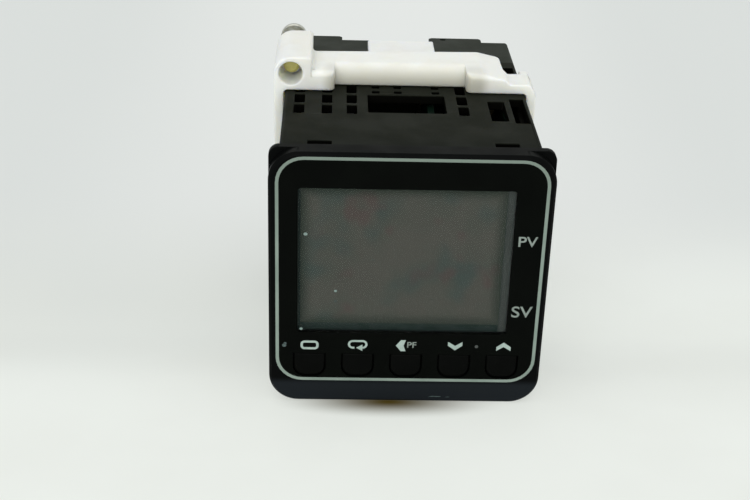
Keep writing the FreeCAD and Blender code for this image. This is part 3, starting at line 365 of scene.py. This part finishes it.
def make_tones_group():
    """Patches of a second colour, dust on faces that look up, and paler edges."""
    group, given, out = new_group(
        "surface_tones",
        (
            ("Colour", "Color", (0.5, 0.5, 0.5, 1)), ("Patch Colour", "Color", (0.4, 0.4, 0.4, 1)),
            ("Dust Colour", "Color", (0.5, 0.5, 0.5, 1)), ("Edge Colour", "Color", (0.6, 0.6, 0.6, 1)),
            ("Patch Size", "Float", 0.01), ("Patch Amount", "Float", 0.5),
            ("Dust Amount", "Float", 0.1), ("Edge Amount", "Float", 0.2), ("Edge Width", "Float", 0.0002),
        ),
        (("Colour", "Color"), ("Wear", "Float")),
    )
    where = add(group, "TexCoord").outputs["Object"]
    scale = worked(group, "DIVIDE", 1.0, given["Patch Size"])
    coarse = {"Vector": where, "Scale": scale, "Detail": 4.0, "Roughness": 0.55}
    patch = add(group, "TexNoise", coarse).outputs[0]
    patch = worked(group, "MULTIPLY", stretched(group, patch, 0.38, 0.64), given["Patch Amount"])
    colour = mixed(group, patch, given["Colour"], given["Patch Colour"])

    facing = add(group, "NewGeometry").outputs["Normal"]
    up = add(group, "SeparateXYZ", {0: facing}).outputs[2]
    fine = {"Vector": where, "Scale": 1400.0, "Detail": 5.0, "Roughness": 0.7}
    specks = add(group, "TexNoise", fine).outputs[0]
    settled = worked(group, "MULTIPLY", stretched(group, up, 0.2, 0.95), stretched(group, specks, 0.45, 0.75))
    settled = worked(group, "MULTIPLY", settled, given["Dust Amount"])
    colour = mixed(group, settled, colour, given["Dust Colour"])

    rounded = add(group, "Bevel", {"Radius": given["Edge Width"]}, samples=4).outputs[0]
    same = add(group, "VectorMath", {0: rounded, 1: facing}, operation="DOT_PRODUCT").outputs["Value"]
    breaks = add(group, "TexNoise", {"Vector": where, "Scale": 900.0, "Detail": 3.0}).outputs[0]
    wear = worked(group, "MULTIPLY", stretched(group, same, 0.995, 0.90), stretched(group, breaks, 0.35, 0.6))
    wear = worked(group, "MULTIPLY", wear, given["Edge Amount"])
    colour = mixed(group, wear, colour, given["Edge Colour"])
    group.links.new(colour, out["Colour"])
    group.links.new(wear, out["Wear"])
    return group


def make_grain_group():
    """Fine moulded texture: an uneven roughness and a relief."""
    group, given, out = new_group(
        "surface_grain",
        (
            ("Rough", "Float", 0.5), ("Spread", "Float", 0.1), ("Grain Size", "Float", 0.0003),
            ("Grain Depth", "Float", 0.00001), ("Wave Depth", "Float", 0.0),
        ),
        (("Roughness", "Float"), ("Normal", "Vector")),
    )
    where = add(group, "TexCoord").outputs["Object"]
    scale = worked(group, "DIVIDE", 1.0, given["Grain Size"])
    fine = add(group, "TexNoise", {"Vector": where, "Scale": scale, "Detail": 3.0, "Roughness": 0.6}).outputs[0]
    broad = add(group, "TexNoise", {"Vector": where, "Scale": 160.0, "Detail": 2.0}).outputs[0]
    uneven = worked(group, "MULTIPLY", stretched(group, broad, 0.3, 0.7, -0.5, 0.5), given["Spread"])
    rough = worked(group, "ADD", given["Rough"], uneven)
    waves = add(group, "Bump", {"Strength": 1.0, "Distance": given["Wave Depth"], "Height": broad}).outputs[0]
    relief = add(
        group, "Bump", {"Strength": 1.0, "Distance": given["Grain Depth"], "Height": fine, "Normal": waves}
    ).outputs[0]
    group.links.new(rough, out["Roughness"])
    group.links.new(relief, out["Normal"])
    return group


TONES = make_tones_group()
GRAIN = make_grain_group()


def moulded(name, colour, patch, rough, gloss=0.5, patch_size=8, patch_amount=0.6, dust=0.0, dust_colour=None,
            edge=0.0, edge_colour=None, edge_width=0.2, spread=0.12, grain=0.25, depth=0.01, wave=0.0,
            metal=0.0, coat=0.0, glow=0.0, glow_reach=1.0):
    """Finish of one kind of part. Sizes are in millimetres and colours are 0-255."""
    dust_colour = dust_colour or (150, 150, 140)
    edge_colour = edge_colour or patch
    material = bpy.data.materials.new(name)
    material.use_nodes = True
    tree = material.node_tree
    shader = tree.nodes["Principled BSDF"]
    tones = add(tree, "Group", node_tree=TONES)
    grain_node = add(tree, "Group", node_tree=GRAIN)
    values = {
        "Colour": tone(*colour), "Patch Colour": tone(*patch),
        "Dust Colour": tone(*dust_colour), "Edge Colour": tone(*edge_colour),
        "Patch Size": patch_size * MM, "Patch Amount": patch_amount, "Dust Amount": dust,
        "Edge Amount": edge, "Edge Width": edge_width * MM,
    }
    for label, value in values.items():
        tones.inputs[label].default_value = value
    values = {
        "Rough": rough, "Spread": spread, "Grain Size": grain * MM, "Grain Depth": depth * MM,
        "Wave Depth": wave * MM,
    }
    for label, value in values.items():
        grain_node.inputs[label].default_value = value
    tree.links.new(tones.outputs["Colour"], shader.inputs["Base Color"])
    tree.links.new(grain_node.outputs["Roughness"], shader.inputs["Roughness"])
    tree.links.new(grain_node.outputs["Normal"], shader.inputs["Normal"])
    shader.inputs["Specular IOR Level"].default_value = gloss
    shader.inputs["Metallic"].default_value = metal
    shader.inputs["Coat Weight"].default_value = coat
    shader.inputs["Coat Roughness"].default_value = 0.12
    shader.inputs["Subsurface Weight"].default_value = glow
    shader.inputs["Subsurface Radius"].default_value = (1.0, 0.9, 0.7)
    shader.inputs["Subsurface Scale"].default_value = glow_reach * MM
    return material


def overlay(material, colour, make_mask):
    """Lays one more colour over a finish, where the mask made from the object's axes says."""
    tree = material.node_tree
    base = tree.nodes["Principled BSDF"].inputs["Base Color"]
    below = base.links[0].from_socket
    where = add(tree, "TexCoord").outputs["Object"]
    axes = add(tree, "SeparateXYZ", {0: where}).outputs
    tree.links.new(mixed(tree, make_mask(tree, where, axes), below, tone(*colour)), base)


def between(axis, start, end, most=1.0):
    """Mask that grows from start to end, in millimetres along one axis."""
    return lambda tree, where, axes: stretched(tree, axes["XYZ".index(axis)], start * MM, end * MM, 0.0, most)


def blotches(size, low, high, most):
    """Mask of soft uneven blotches of about one size, in millimetres."""
    def mask(tree, where, axes):
        noise = add(tree, "TexNoise", {"Vector": where, "Scale": 1 / (size * MM), "Detail": 1.5}).outputs[0]
        return stretched(tree, noise, low, high, 0.0, most)
    return mask


def rim_shade_mask(box, width, most):
    """Mask of painted shade that grows over the last width of a box = (x0, x1, z0, z1), in millimetres."""
    def mask(tree, where, axes):
        x0, x1, z0, z1 = box
        sides = ((0, x0 + width, x0), (0, x1 - width, x1), (2, z0 + width, z0), (2, z1 - width, z1))
        masks = [stretched(tree, axes[axis], inner * MM, rim * MM) for axis, inner, rim in sides]
        total = masks[0]
        for extra in masks[1:]:
            total = worked(tree, "MAXIMUM", total, extra)
        return worked(tree, "MULTIPLY", total, most)
    return mask


def recess_shade_mask(reach, depth):
    """Mask of painted shade over what lies more than depth inside a square case of half-width reach, in
    millimetres.
    """
    def mask(tree, where, axes):
        out = worked(tree, "MAXIMUM", worked(tree, "ABSOLUTE", axes[0]), worked(tree, "ABSOLUTE", axes[2]))
        return stretched(tree, out, (reach - depth * 0.5) * MM, (reach - depth) * MM)
    return mask


def bar_shade_mask(tree, where, axes):
    """Mask of painted shade over the middle of the adapter's upper bar, stronger towards its lower edge."""
    reach = stretched(tree, worked(tree, "ABSOLUTE", axes[0]), 16 * MM, 13.5 * MM)
    low = stretched(tree, axes[2], 28.5 * MM, 23.5 * MM, 0.0, 0.85)
    low = worked(tree, "MULTIPLY", low, stretched(tree, axes[2], 20 * MM, 22 * MM))
    front = stretched(tree, axes[1], ADAPTER_LOW.y + 6 * MM, ADAPTER_LOW.y + 3 * MM)
    return worked(tree, "MULTIPLY", worked(tree, "MULTIPLY", reach, low), front)


def make_clear_window():
    """Clear hard plastic with faint rub marks. It is thin, so it lets light through without bending it."""
    material = bpy.data.materials.new("clear_acrylic")
    material.use_nodes = True
    tree = material.node_tree
    shader = tree.nodes["Principled BSDF"]
    where = add(tree, "TexCoord").outputs["Object"]
    marks = add(tree, "TexNoise", {"Vector": where, "Scale": 60.0, "Detail": 1.0}).outputs[0]
    tree.links.new(stretched(tree, marks, 0.45, 0.75, 0.04, 0.09), shader.inputs["Roughness"])
    tint = mixed(tree, stretched(tree, marks, 0.4, 0.7), tone(26, 29, 27), tone(34, 37, 35))
    tree.links.new(tint, shader.inputs["Base Color"])
    shader.inputs["Alpha"].default_value = 0.05
    shader.inputs["Specular IOR Level"].default_value = 0.5
    return material


def dress(node, material):
    """Gives a CAD node one finish."""
    slots = NODES[node].data.materials
    slots.clear()
    slots.append(material)


FACE_BLACK = moulded(
    "face_sheet_black", (5, 7, 5), (3, 4, 3), 0.34, gloss=0.03, patch_size=9,
    spread=0.10, grain=0.12, depth=0.002,
)
BEZEL_BLACK = moulded(
    "bezel_black", (7, 8, 8), (5, 6, 6), 0.45, gloss=0.03, patch_size=7, edge=0.12,
    edge_colour=(46, 50, 49), edge_width=0.14, grain=0.16, depth=0.004,
)
CASE_BLACK = moulded(
    "case_black", (26, 28, 22), (22, 24, 18), 0.55, gloss=0.035, patch_size=6, dust=0.06,
    dust_colour=(70, 70, 60), edge=0.35, edge_colour=(58, 60, 53), edge_width=0.2, grain=0.18, depth=0.010,
)
# Painted reflection: the bezel's face below the stripe is lighter and bluer, a sheen of the pale floor.
overlay(BEZEL_BLACK, (29, 33, 36), between("Z", -19.0, -20.5, 0.9))
# Painted shade: the case's top darkens towards the bezel.
overlay(CASE_BLACK, (18, 21, 17), between("Y", 11, 1, 0.8))
# Painted shade: near black in the vents, slots and other hollows inside the case's outer skin.
overlay(CASE_BLACK, (5, 5, 3), recess_shade_mask(22.4, 0.22))
BLOCK_BLACK = moulded(
    "block_black", (38, 42, 35), (33, 36, 30), 0.5, gloss=0.06, patch_size=5, dust=0.06,
    dust_colour=(82, 84, 76), edge=0.35, edge_colour=(76, 80, 72), edge_width=0.2, grain=0.2, depth=0.008,
)
KEY_BLACK = moulded(
    "key_black", (6, 7, 6), (4, 5, 4), 0.4, gloss=0.03, patch_size=4, edge=0.16,
    edge_colour=(34, 37, 35), edge_width=0.14, grain=0.14, depth=0.003,
)
ADAPTER_WHITE = moulded(
    "adapter_white", (238, 239, 232), (231, 230, 219), 0.42, gloss=0.3, patch_size=7, dust=0.04,
    dust_colour=(196, 190, 174), edge=0.08, edge_colour=(222, 217, 202), edge_width=0.3, grain=0.3,
    depth=0.006, wave=0.02, glow=0.8, glow_reach=2.2,
)
# Painted shade: the lower front of the adapter's upper bar is darker and warmer.
overlay(ADAPTER_WHITE, (184, 183, 168), bar_shade_mask)
INK_FILM = {"gloss": 0.1, "grain": 0.06, "depth": 0.002}
INK = moulded("printed_ink", (164, 180, 172), (146, 162, 154), 0.5, patch_size=1.5, **INK_FILM)
LABEL_INK = moulded("label_ink", (134, 144, 137), (116, 126, 119), 0.5, patch_size=1.5, **INK_FILM)
FAINT_INK = moulded("faint_ink", (84, 88, 85), (64, 68, 66), 0.5, patch_size=1.0, **INK_FILM)
LINT = moulded("lint_pale", (132, 150, 144), (104, 122, 116), 0.7, gloss=0.1, patch_size=0.3)
FAINT_LINT = moulded("lint_faint", (84, 98, 96), (60, 72, 70), 0.7, gloss=0.1, patch_size=0.3)
STRIPE_GREY = moulded(
    "stripe_grey", (134, 148, 138), (122, 137, 127), 0.42, gloss=0.15, patch_size=5, patch_amount=0.8,
    grain=0.08, depth=0.002,
)
# Painted shade: the stripe darkens towards its top.
overlay(STRIPE_GREY, (118, 131, 121), between("Z", 6, 23))
POLARISER = moulded(
    "polariser_grey", (78, 78, 72), (72, 76, 69), 0.5, gloss=0.03, patch_size=6, patch_amount=0.7,
    spread=0.05, grain=0.2, depth=0.0,
)
overlay(POLARISER, (62, 74, 70), blotches(7, 0.5, 0.72, 0.8))
overlay(POLARISER, (80, 69, 66), blotches(5, 0.56, 0.74, 0.7))
# Painted shade: the display darkens towards the edges of its window.
overlay(POLARISER, (46, 55, 48), rim_shade_mask((-18.6, 16.1, -8.4, 17.3), 2.4, 0.8))
LCD_GLASS = moulded("lcd_glass", (38, 50, 47), (34, 46, 43), 0.3, gloss=0.1, patch_size=4, grain=0.2, depth=0.0)
# Painted highlight: the glass is lighter along its right edge.
overlay(LCD_GLASS, (67, 72, 69), between("X", 15.9, 16.5, 0.9))
GUIDE = moulded("light_guide", (206, 208, 200), (190, 194, 186), 0.35, patch_size=4)
HOLDER = moulded("holder_black", (18, 18, 18), (12, 12, 12), 0.5, gloss=0.3, patch_size=4, depth=0.006)
ELASTOMER = moulded("elastomer_strip", (200, 150, 160), (70, 60, 62), 0.6, patch_size=0.25, patch_amount=1.0)
LED_YELLOW = moulded("led_yellow", (228, 202, 92), (214, 180, 64), 0.35, patch_size=0.6)
RUBBER = moulded("pad_rubber", (92, 96, 98), (80, 84, 86), 0.62, gloss=0.3, patch_size=4, grain=0.3, depth=0.01)
CARBON = moulded("carbon_pill", (20, 20, 21), (32, 32, 33), 0.7, gloss=0.2, patch_size=0.5)
BOARD = moulded(
    "board_green", (4, 17, 11), (7, 24, 15), 0.36, gloss=0.2, patch_size=1.2, patch_amount=0.9, grain=0.4,
    depth=0.008,
)
HEADER = moulded("header_black", (22, 22, 22), (30, 30, 30), 0.5, patch_size=1.0)
FERRITE = moulded("ferrite_grey", (52, 52, 54), (38, 38, 40), 0.7, patch_size=1.5, grain=0.25, depth=0.02)
TAPE = moulded("winding_tape", (206, 176, 62), (190, 158, 48), 0.35, patch_size=3.0, coat=0.3)
CAN = moulded("can_aluminium", (176, 178, 180), (150, 152, 156), 0.32, patch_size=2.0, metal=1.0)
VARISTOR = moulded("varistor_blue", (44, 84, 148), (34, 68, 126), 0.4, patch_size=2.0, depth=0.012)
RELAY = moulded("relay_body", (28, 30, 34), (20, 22, 26), 0.4, patch_size=3.0, coat=0.2)
CHIP = moulded("chip_black", (26, 26, 27), (18, 18, 19), 0.6, patch_size=1.0, grain=0.1, depth=0.006)
BRASS = moulded(
    "plated_brass", (196, 178, 128), (172, 150, 96), 0.34, patch_size=2.0, metal=1.0, edge=0.3,
    edge_colour=(214, 198, 150), grain=0.15, depth=0.004,
)
STEEL = moulded(
    "zinc_steel", (186, 186, 178), (160, 158, 146), 0.34, patch_size=1.2, metal=1.0, edge=0.3,
    edge_colour=(220, 220, 214), grain=0.12, depth=0.004,
)
CLAMP_STEEL = moulded(
    "clamp_steel", (196, 196, 190), (168, 166, 154), 0.3, patch_size=0.8, metal=1.0, edge=0.3,
    edge_colour=(224, 224, 218), grain=0.1, depth=0.004,
)
CLAMP_TIP = moulded(
    "oiled_tip", (206, 198, 120), (180, 172, 92), 0.5, patch_size=0.9, metal=0.1, grain=0.1, depth=0.004,
)
CLEAR = make_clear_window()

FINISHES = {
    "front_sheet": FACE_BLACK, "display_window": CLEAR, "lcd_polariser": POLARISER, "lcd_panel": LCD_GLASS,
    "lcd_connectors": ELASTOMER, "light_guide": GUIDE, "lcd_holder": HOLDER, "backlight_leds": LED_YELLOW,
    "key_pad": RUBBER, "contact_pills": CARBON, "display_board": BOARD, "board_connectors": HEADER,
    "power_board": BOARD, "input_board": BOARD, "output_board": BOARD, "transformer_core": FERRITE,
    "transformer_winding": TAPE, "supply_capacitors": CAN, "surge_varistor": VARISTOR, "control_relay": RELAY,
    "alarm_relay": RELAY, "processor_chip": CHIP, "signal_chips": CHIP, "terminal_plates": BRASS,
    "terminal_washers": STEEL, "terminal_screws": STEEL, "front_bezel": BEZEL_BLACK, "rear_case": CASE_BLACK,
    "terminal_block": BLOCK_BLACK, "mounting_adapter": ADAPTER_WHITE, "upper_clamp_screw": CLAMP_STEEL,
    "lower_clamp_screw": CLAMP_STEEL,
}
for key in KEYS:
    FINISHES[key] = KEY_BLACK
for node, finish in FINISHES.items():
    dress(node, finish)


# ---- Mouldings with softened edges ---------------------------------------------------------------
def shell(node, width, segments, name, body="housing", windows=None, trimmed=None):
    """Softened copy of a CAD node in the node's own finish. The width is in millimetres."""
    piece = softened(node, width * MM, segments, name, body, windows=windows, trimmed=trimmed)
    piece.data.materials.clear()
    piece.data.materials.append(FINISHES[node])


shell("rear_case", 0.14, 2, "case_moulding", windows=(0.34 * MM, 0.06 * MM))
shell("front_bezel", 0.10, 2, "bezel_moulding", trimmed=(BEZEL_HIGH.x, BEZEL_CORNER))
shell("terminal_block", 0.14, 2, "block_moulding")
shell("mounting_adapter", 0.28, 3, "adapter_moulding", "adapter")
for key in KEYS:
    shell(key, 0.09, 2, key + "_cap", NODES[key]["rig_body"])

# ---- Front: stripe, signs and labels -------------------------------------------------------------
ring("face_stripe", (-22.8, 22.95, -19.6, 23.32), 4.7, 0.56, STRIPE_GREY)

SIGN_Z = -12.3                  # centre line of the signs above the keys, in millimetres
CHEVRON_Z = SIGN_Z + 0.05
CHEVRON_TALL = 1.7
SHIFT_TOP = SIGN_Z + 1.12
SHIFT_FOOT = SIGN_Z - 1.12
lettering("label_pv", "PV", (18.3, 21.6, 7.45, 9.35), LABEL_INK)
lettering("label_sv", "SV", (18.1, 21.75, -6.3, -4.1), LABEL_INK)
lettering("label_pf", "PF", (0.25, 1.85, SIGN_Z - 0.4, SIGN_Z + 0.75), LABEL_INK)
ring("sign_level", (-18.45, -15.28, SIGN_Z - 0.97, SIGN_Z + 0.8), 0.72, 0.42, INK)


def chevron(x, tall):
    """Points of an upward chevron. A negative height points it down."""
    half = 1.27
    thick = 0.78 if tall > 0 else -0.78
    top = CHEVRON_Z + tall / 2
    foot = CHEVRON_Z - tall / 2
    return [
        (x - half, foot), (x - half, foot + thick), (x, top), (x + half, foot + thick), (x + half, foot),
        (x, top - thick * 1.15),
    ]


printed("sign_down", [chevron(8.68, -CHEVRON_TALL)], INK)
printed("sign_up", [chevron(17.24, CHEVRON_TALL)], INK)
printed("sign_shift", [[
    (-1.75, SIGN_Z), (-0.85, SHIFT_TOP), (0.0, SHIFT_TOP), (-0.38, SIGN_Z), (0.0, SHIFT_FOOT),
    (-0.85, SHIFT_FOOT),
]], INK)


def make_mode_sign():
    """Open loop with an arrow head beside its gap."""
    x0, x1, z0, z1 = -10.15, -6.72, SIGN_Z - 0.72, SIGN_Z + 1.02
    half = (z1 - z0) / 2
    middle = (z0 + z1) / 2
    width = 0.38
    steps = 14
    outer = []
    inner = []

    def both(x, z, dx, dz):
        outer.append((x + dx * half, z + dz * half))
        inner.append((x + dx * (half - width), z + dz * (half - width)))

    both(x0 + 1.15, middle, 0, -1)
    for centre, start in ((x0 + half, -math.pi / 2), (x1 - half, math.pi / 2)):
        for i in range(steps + 1):
            turn = start - math.pi * i / steps
            both(centre, middle, math.cos(turn), math.sin(turn))
    tip = x0 + 1.45
    line = z0 + width / 2
    arrow = [(tip, line), (tip + 1.1, line + 0.66), (tip + 1.1, line - 0.66)]
    printed("sign_mode", [outer + inner[::-1], arrow], INK)


make_mode_sign()
printed("sign_dot", [circle(12.45, SIGN_Z, 0.3, 20)], FAINT_INK)


# ---- Marks of use --------------------------------------------------------------------------------
def spots(name, places, material):
    """Small flat flecks on the face, from (x, z, radius) in millimetres."""
    printed(name, [circle(x, z, radius, 9, 1.15) for x, z, radius in places], material)


spots("window_lint", [(-17.70, 9.25, 0.30), (-12.49, -1.57, 0.24), (-18.36, -9.1, 0.26)], LINT)
spots("window_lint_faint", [(-12.46, -3.53, 0.22), (-6.2, 4.6, 0.12), (4.1, -2.9, 0.11)], FAINT_LINT)
spots("sheet_lint", [(-21.3, -12.5, 0.34), (-21.15, -12.1, 0.24)], FAINT_LINT)
printed("strip_scratch", [
    [(4.4, -22.9), (5.2, -22.82), (6.7, -22.84), (6.5, -22.72), (5.0, -22.68)],
    [(7.4, -22.9), (8.3, -22.88), (8.0, -22.8)],
], FAINT_LINT)


# ---- Screws --------------------------------------------------------------------------------------
def make_clamp_screw(node, name, body, turn):
    """M3 screw with its thread, along Y, tip to the front, turned about its axis by so many degrees."""
    low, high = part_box(node)
    axis_place = ((low.x + high.x) / 2, 0, (low.z + high.z) / 2)
    head = high.y - HEAD_HEIGHT
    crest = 1.5 * MM
    root = 1.22 * MM
    pitch = 0.5 * MM
    chamfer = 0.15 * MM
    plain = 1.2 * MM                # length without thread, below the head
    profile = [(0, low.y), (root - chamfer, low.y), (root, low.y + chamfer)]
    y = low.y + chamfer
    while y < head - plain:
        profile += [(crest, y + pitch * 0.45), (crest, y + pitch * 0.55), (root, y + pitch)]
        y += pitch
    profile += [
        (1.3 * MM, head - 0.3 * MM), (1.3 * MM, head), (2.45 * MM, head), (HEAD_RADIUS, head + 0.2 * MM),
        (HEAD_RADIUS, head + 0.9 * MM), (2.42 * MM, head + 1.35 * MM), (2.0 * MM, head + 1.68 * MM),
        (1.3 * MM, high.y - 0.06 * MM), (0, high.y),
    ]
    bm = bmesh.new()
    turned_profile(bm, profile)
    mesh = with_cross_cut(bm, high.y, 3.1 * MM, 1.1 * MM, 3.1 * MM)
    bm = bmesh.new()
    bm.from_mesh(mesh)
    bpy.data.meshes.remove(mesh)
    bmesh.ops.rotate(bm, cent=(0, 0, 0), matrix=Matrix.Rotation(math.radians(turn), 3, "Y"), verts=bm.verts)
    bmesh.ops.translate(bm, vec=axis_place, verts=bm.verts)
    piece = finish_mesh(name, bm, body, recalc=False)
    piece.data.materials.append(CLAMP_STEEL)
    piece.data.materials.append(CLAMP_TIP)
    tip = low.y + 0.4 * MM
    for polygon in piece.data.polygons:
        polygon.material_index = 1 if polygon.center.y < tip else 0
    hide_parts(node)


make_clamp_screw("upper_clamp_screw", "upper_clamp_screw_threaded", "upper_screw", 20)
make_clamp_screw("lower_clamp_screw", "lower_clamp_screw_threaded", "lower_screw", 65)


def make_terminal_screws():
    """Eighteen pan-head screws, each left at its own turn."""
    low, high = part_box("terminal_screws")
    head = high.y - HEAD_HEIGHT
    profile = [
        (0, low.y), (1.2 * MM, low.y), (1.5 * MM, low.y + 0.3 * MM), (1.5 * MM, head), (2.45 * MM, head),
        (HEAD_RADIUS, head + 0.15 * MM), (HEAD_RADIUS, head + 0.95 * MM), (2.42 * MM, head + 1.4 * MM),
        (2.05 * MM, head + 1.7 * MM), (1.4 * MM, high.y - 0.06 * MM), (0, high.y),
    ]
    bm = bmesh.new()
    turned_profile(bm, profile)
    mesh = with_cross_cut(bm, high.y, 2.9 * MM, 1.0 * MM, 5.4 * MM)
    rows = 6
    turn_step = 47                  # degrees from one screw to the next
    column_pitch = (high.x - low.x - 2 * HEAD_RADIUS) / 2
    row_pitch = (high.z - low.z - 2 * HEAD_RADIUS) / (rows - 1)
    row_low = low.z + HEAD_RADIUS
    bm = bmesh.new()
    count = 0
    for x in (-column_pitch, 0.0, column_pitch):
        for row in range(rows):
            old = set(bm.verts)
            bm.from_mesh(mesh)
            new = [vert for vert in bm.verts if vert not in old]
            turn = Matrix.Rotation(math.radians((count * turn_step) % 90), 3, "Y")
            bmesh.ops.rotate(bm, cent=(0, 0, 0), matrix=turn, verts=new)
            bmesh.ops.translate(bm, vec=(x, 0, row_low + row * row_pitch), verts=new)
            count += 1
    bpy.data.meshes.remove(mesh)
    piece = finish_mesh("terminal_screw_set", bm, "housing", recalc=False)
    piece.data.materials.append(STEEL)
    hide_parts("terminal_screws")


make_terminal_screws()


# ---- Floor, lights and camera --------------------------------------------------------------------
def make_paper():
    """Pale paper with painted light, brighter near the front. It partly lights itself for the camera, so
    shadows stay light.
    """
    own_light = 0.65
    material = bpy.data.materials.new("paper_floor")
    material.use_nodes = True
    tree = material.node_tree
    tree.nodes.clear()
    where = add(tree, "TexCoord").outputs["Object"]
    axes = add(tree, "SeparateXYZ", {0: where}).outputs
    # Painted light: brighter near the front and towards the right, and further back paler in the middle than to
    # the sides.
    near = stretched(tree, axes[1], 0.045, -0.015)
    right = stretched(tree, axes[0], -0.01, 0.045, 0.0, 0.8)
    close = stretched(tree, axes[1], 0.16, 0.05)
    bright = worked(tree, "MAXIMUM", near, worked(tree, "MULTIPLY", right, close))
    fibres = add(tree, "TexNoise", {"Vector": where, "Scale": 30.0, "Detail": 3.0}).outputs[0]
    paper = mixed(tree, bright, tone(221, 225, 220), tone(237, 241, 235))
    paper = mixed(tree, stretched(tree, fibres, 0.35, 0.65, 0.0, 0.25), paper, tone(226, 229, 222))
    aside = worked(tree, "ABSOLUTE", axes[0])
    halo = mixed(tree, stretched(tree, aside, 0.095, 0.02), tone(219, 223, 220), tone(230, 233, 230))
    paper = mixed(tree, stretched(tree, axes[1], 0.035, 0.10, 0.0, 0.9), paper, halo)
    # Painted shadow: a warm dark oval on the paper just in front of the face, darkest at the bezel's lower
    # edge.
    across = worked(tree, "DIVIDE", worked(tree, "ADD", axes[0], 2.6 * MM), 22.0 * MM)
    ahead = worked(tree, "DIVIDE", worked(tree, "SUBTRACT", axes[1], FACE_Y), 5.6 * MM)
    shadow_oval = add(tree, "CombineXYZ", {0: across, 1: ahead}).outputs[0]
    away = add(tree, "VectorMath", {0: shadow_oval}, operation="LENGTH").outputs["Value"]
    gap = stretched(tree, away, 1.0, 0.0)
    behind = stretched(tree, axes[1], FACE_Y + 3.0 * MM, FACE_Y + 1.5 * MM)
    paper = mixed(tree, worked(tree, "MULTIPLY", gap, behind), paper, tone(72, 60, 22))
    finish = {"Base Color": paper, "Roughness": 0.9, "Specular IOR Level": 0.0}
    matt = add(tree, "BsdfPrincipled", finish).outputs[0]
    lit = add(tree, "Emission", {"Color": paper, "Strength": 1.0}).outputs[0]
    seen = worked(tree, "MULTIPLY", add(tree, "LightPath").outputs["Is Camera Ray"], own_light)
    both = add(tree, "MixShader", {0: seen, 1: matt, 2: lit}).outputs[0]
    add(tree, "OutputMaterial", {"Surface": both})
    return material


def make_floor():
    """Pale sheet that touches the bezel's lower edge and the adapter's lower lug."""
    reach = 2.5                     # half the sheet's width, and how far it runs back
    start = 0.002                   # the sheet starts to sink here, just behind the bezel
    end = ADAPTER_LOW.y
    steps = 12
    rows = [(-2.0, 0.0), (-0.05, 0.0)]
    for i in range(steps + 1):
        share = i / steps
        rows.append((start + (end - start) * share, share * share * (3 - 2 * share)))
    rows += [(0.12, 1.0), (reach, 1.0)]
    clearance = 0.05 * MM
    high = BEZEL_LOW.z - clearance
    low = ADAPTER_LOW.z - clearance
    bm = bmesh.new()
    edge = [bm.verts.new((-reach, y, high + (low - high) * share)) for y, share in rows]
    sides = [bm.edges.new(pair) for pair in zip(edge, edge[1:])]
    made = bmesh.ops.extrude_edge_only(bm, edges=sides)
    moved = [part for part in made["geom"] if isinstance(part, bmesh.types.BMVert)]
    bmesh.ops.translate(bm, vec=(2 * reach, 0, 0), verts=moved)
    bmesh.ops.recalc_face_normals(bm, faces=bm.faces)
    for face in bm.faces:
        face.normal_update()
    if bm.faces[:][0].normal.z < 0:
        bmesh.ops.reverse_faces(bm, faces=bm.faces)
    mesh = bpy.data.meshes.new("floor")
    bm.to_mesh(mesh)
    bm.free()
    for polygon in mesh.polygons:
        polygon.use_smooth = True
    floor = bpy.data.objects.new("floor", mesh)
    bpy.context.scene.collection.objects.link(floor)
    mesh.materials.append(make_paper())


def make_world():
    """Soft light from all round, and the pale tone that the camera and the reflections see."""
    world = bpy.data.worlds.new("studio")
    world.use_nodes = True
    tree = world.node_tree
    tree.nodes.clear()
    path = add(tree, "LightPath")
    seen = worked(tree, "MAXIMUM", path.outputs["Is Camera Ray"], path.outputs["Is Glossy Ray"])
    seen = worked(tree, "MAXIMUM", seen, path.outputs["Is Transmission Ray"])
    soft = add(tree, "Background", {"Color": tone(248, 250, 255), "Strength": 0.62}).outputs[0]
    pale = add(tree, "Background", {"Color": tone(226, 230, 225), "Strength": 1.0}).outputs[0]
    chosen = add(tree, "MixShader", {0: seen, 1: soft, 2: pale}).outputs[0]
    add(tree, "OutputWorld", {"Surface": chosen})
    bpy.context.scene.world = world


def make_sun(name, aim, strength, angle, colour):
    """Broad light from one direction. The angle is its spread in degrees."""
    data = bpy.data.lights.new(name, "SUN")
    data.energy = strength
    data.angle = math.radians(angle)
    data.color = colour
    lamp = bpy.data.objects.new(name, data)
    lamp.rotation_euler = Vector(aim).to_track_quat("-Z", "Y").to_euler()
    bpy.context.scene.collection.objects.link(lamp)


def make_camera():
    """Looks down on the top and the face, from a little to the left."""
    data = bpy.data.cameras.new("camera")
    data.sensor_width = 36.0
    data.lens = 65.3
    data.clip_start = 0.01
    data.clip_end = 10.0
    camera = bpy.data.objects.new("camera", data)
    forward = Vector((0.03293, 0.89166, -0.45151)).normalized()
    right = Vector((0.99934, -0.02233, 0.02878))
    right = (right - forward * right.dot(forward)).normalized()
    up = right.cross(forward)
    turn = Matrix((right, up, -forward)).transposed()
    camera.matrix_world = Matrix.Translation((-0.013516, -0.209205, 0.110350)) @ turn.to_4x4()
    bpy.context.scene.collection.objects.link(camera)
    bpy.context.scene.camera = camera


make_floor()
make_world()
make_sun("overhead_softbox", (0.10, 0.28, -1.0), 0.85, 70, (1.0, 0.99, 0.97))
make_sun("front_softbox", (0.12, 0.93, -0.33), 1.32, 60, (1.0, 1.0, 0.98))
make_camera()
bpy.context.scene.view_settings.view_transform = "Standard"
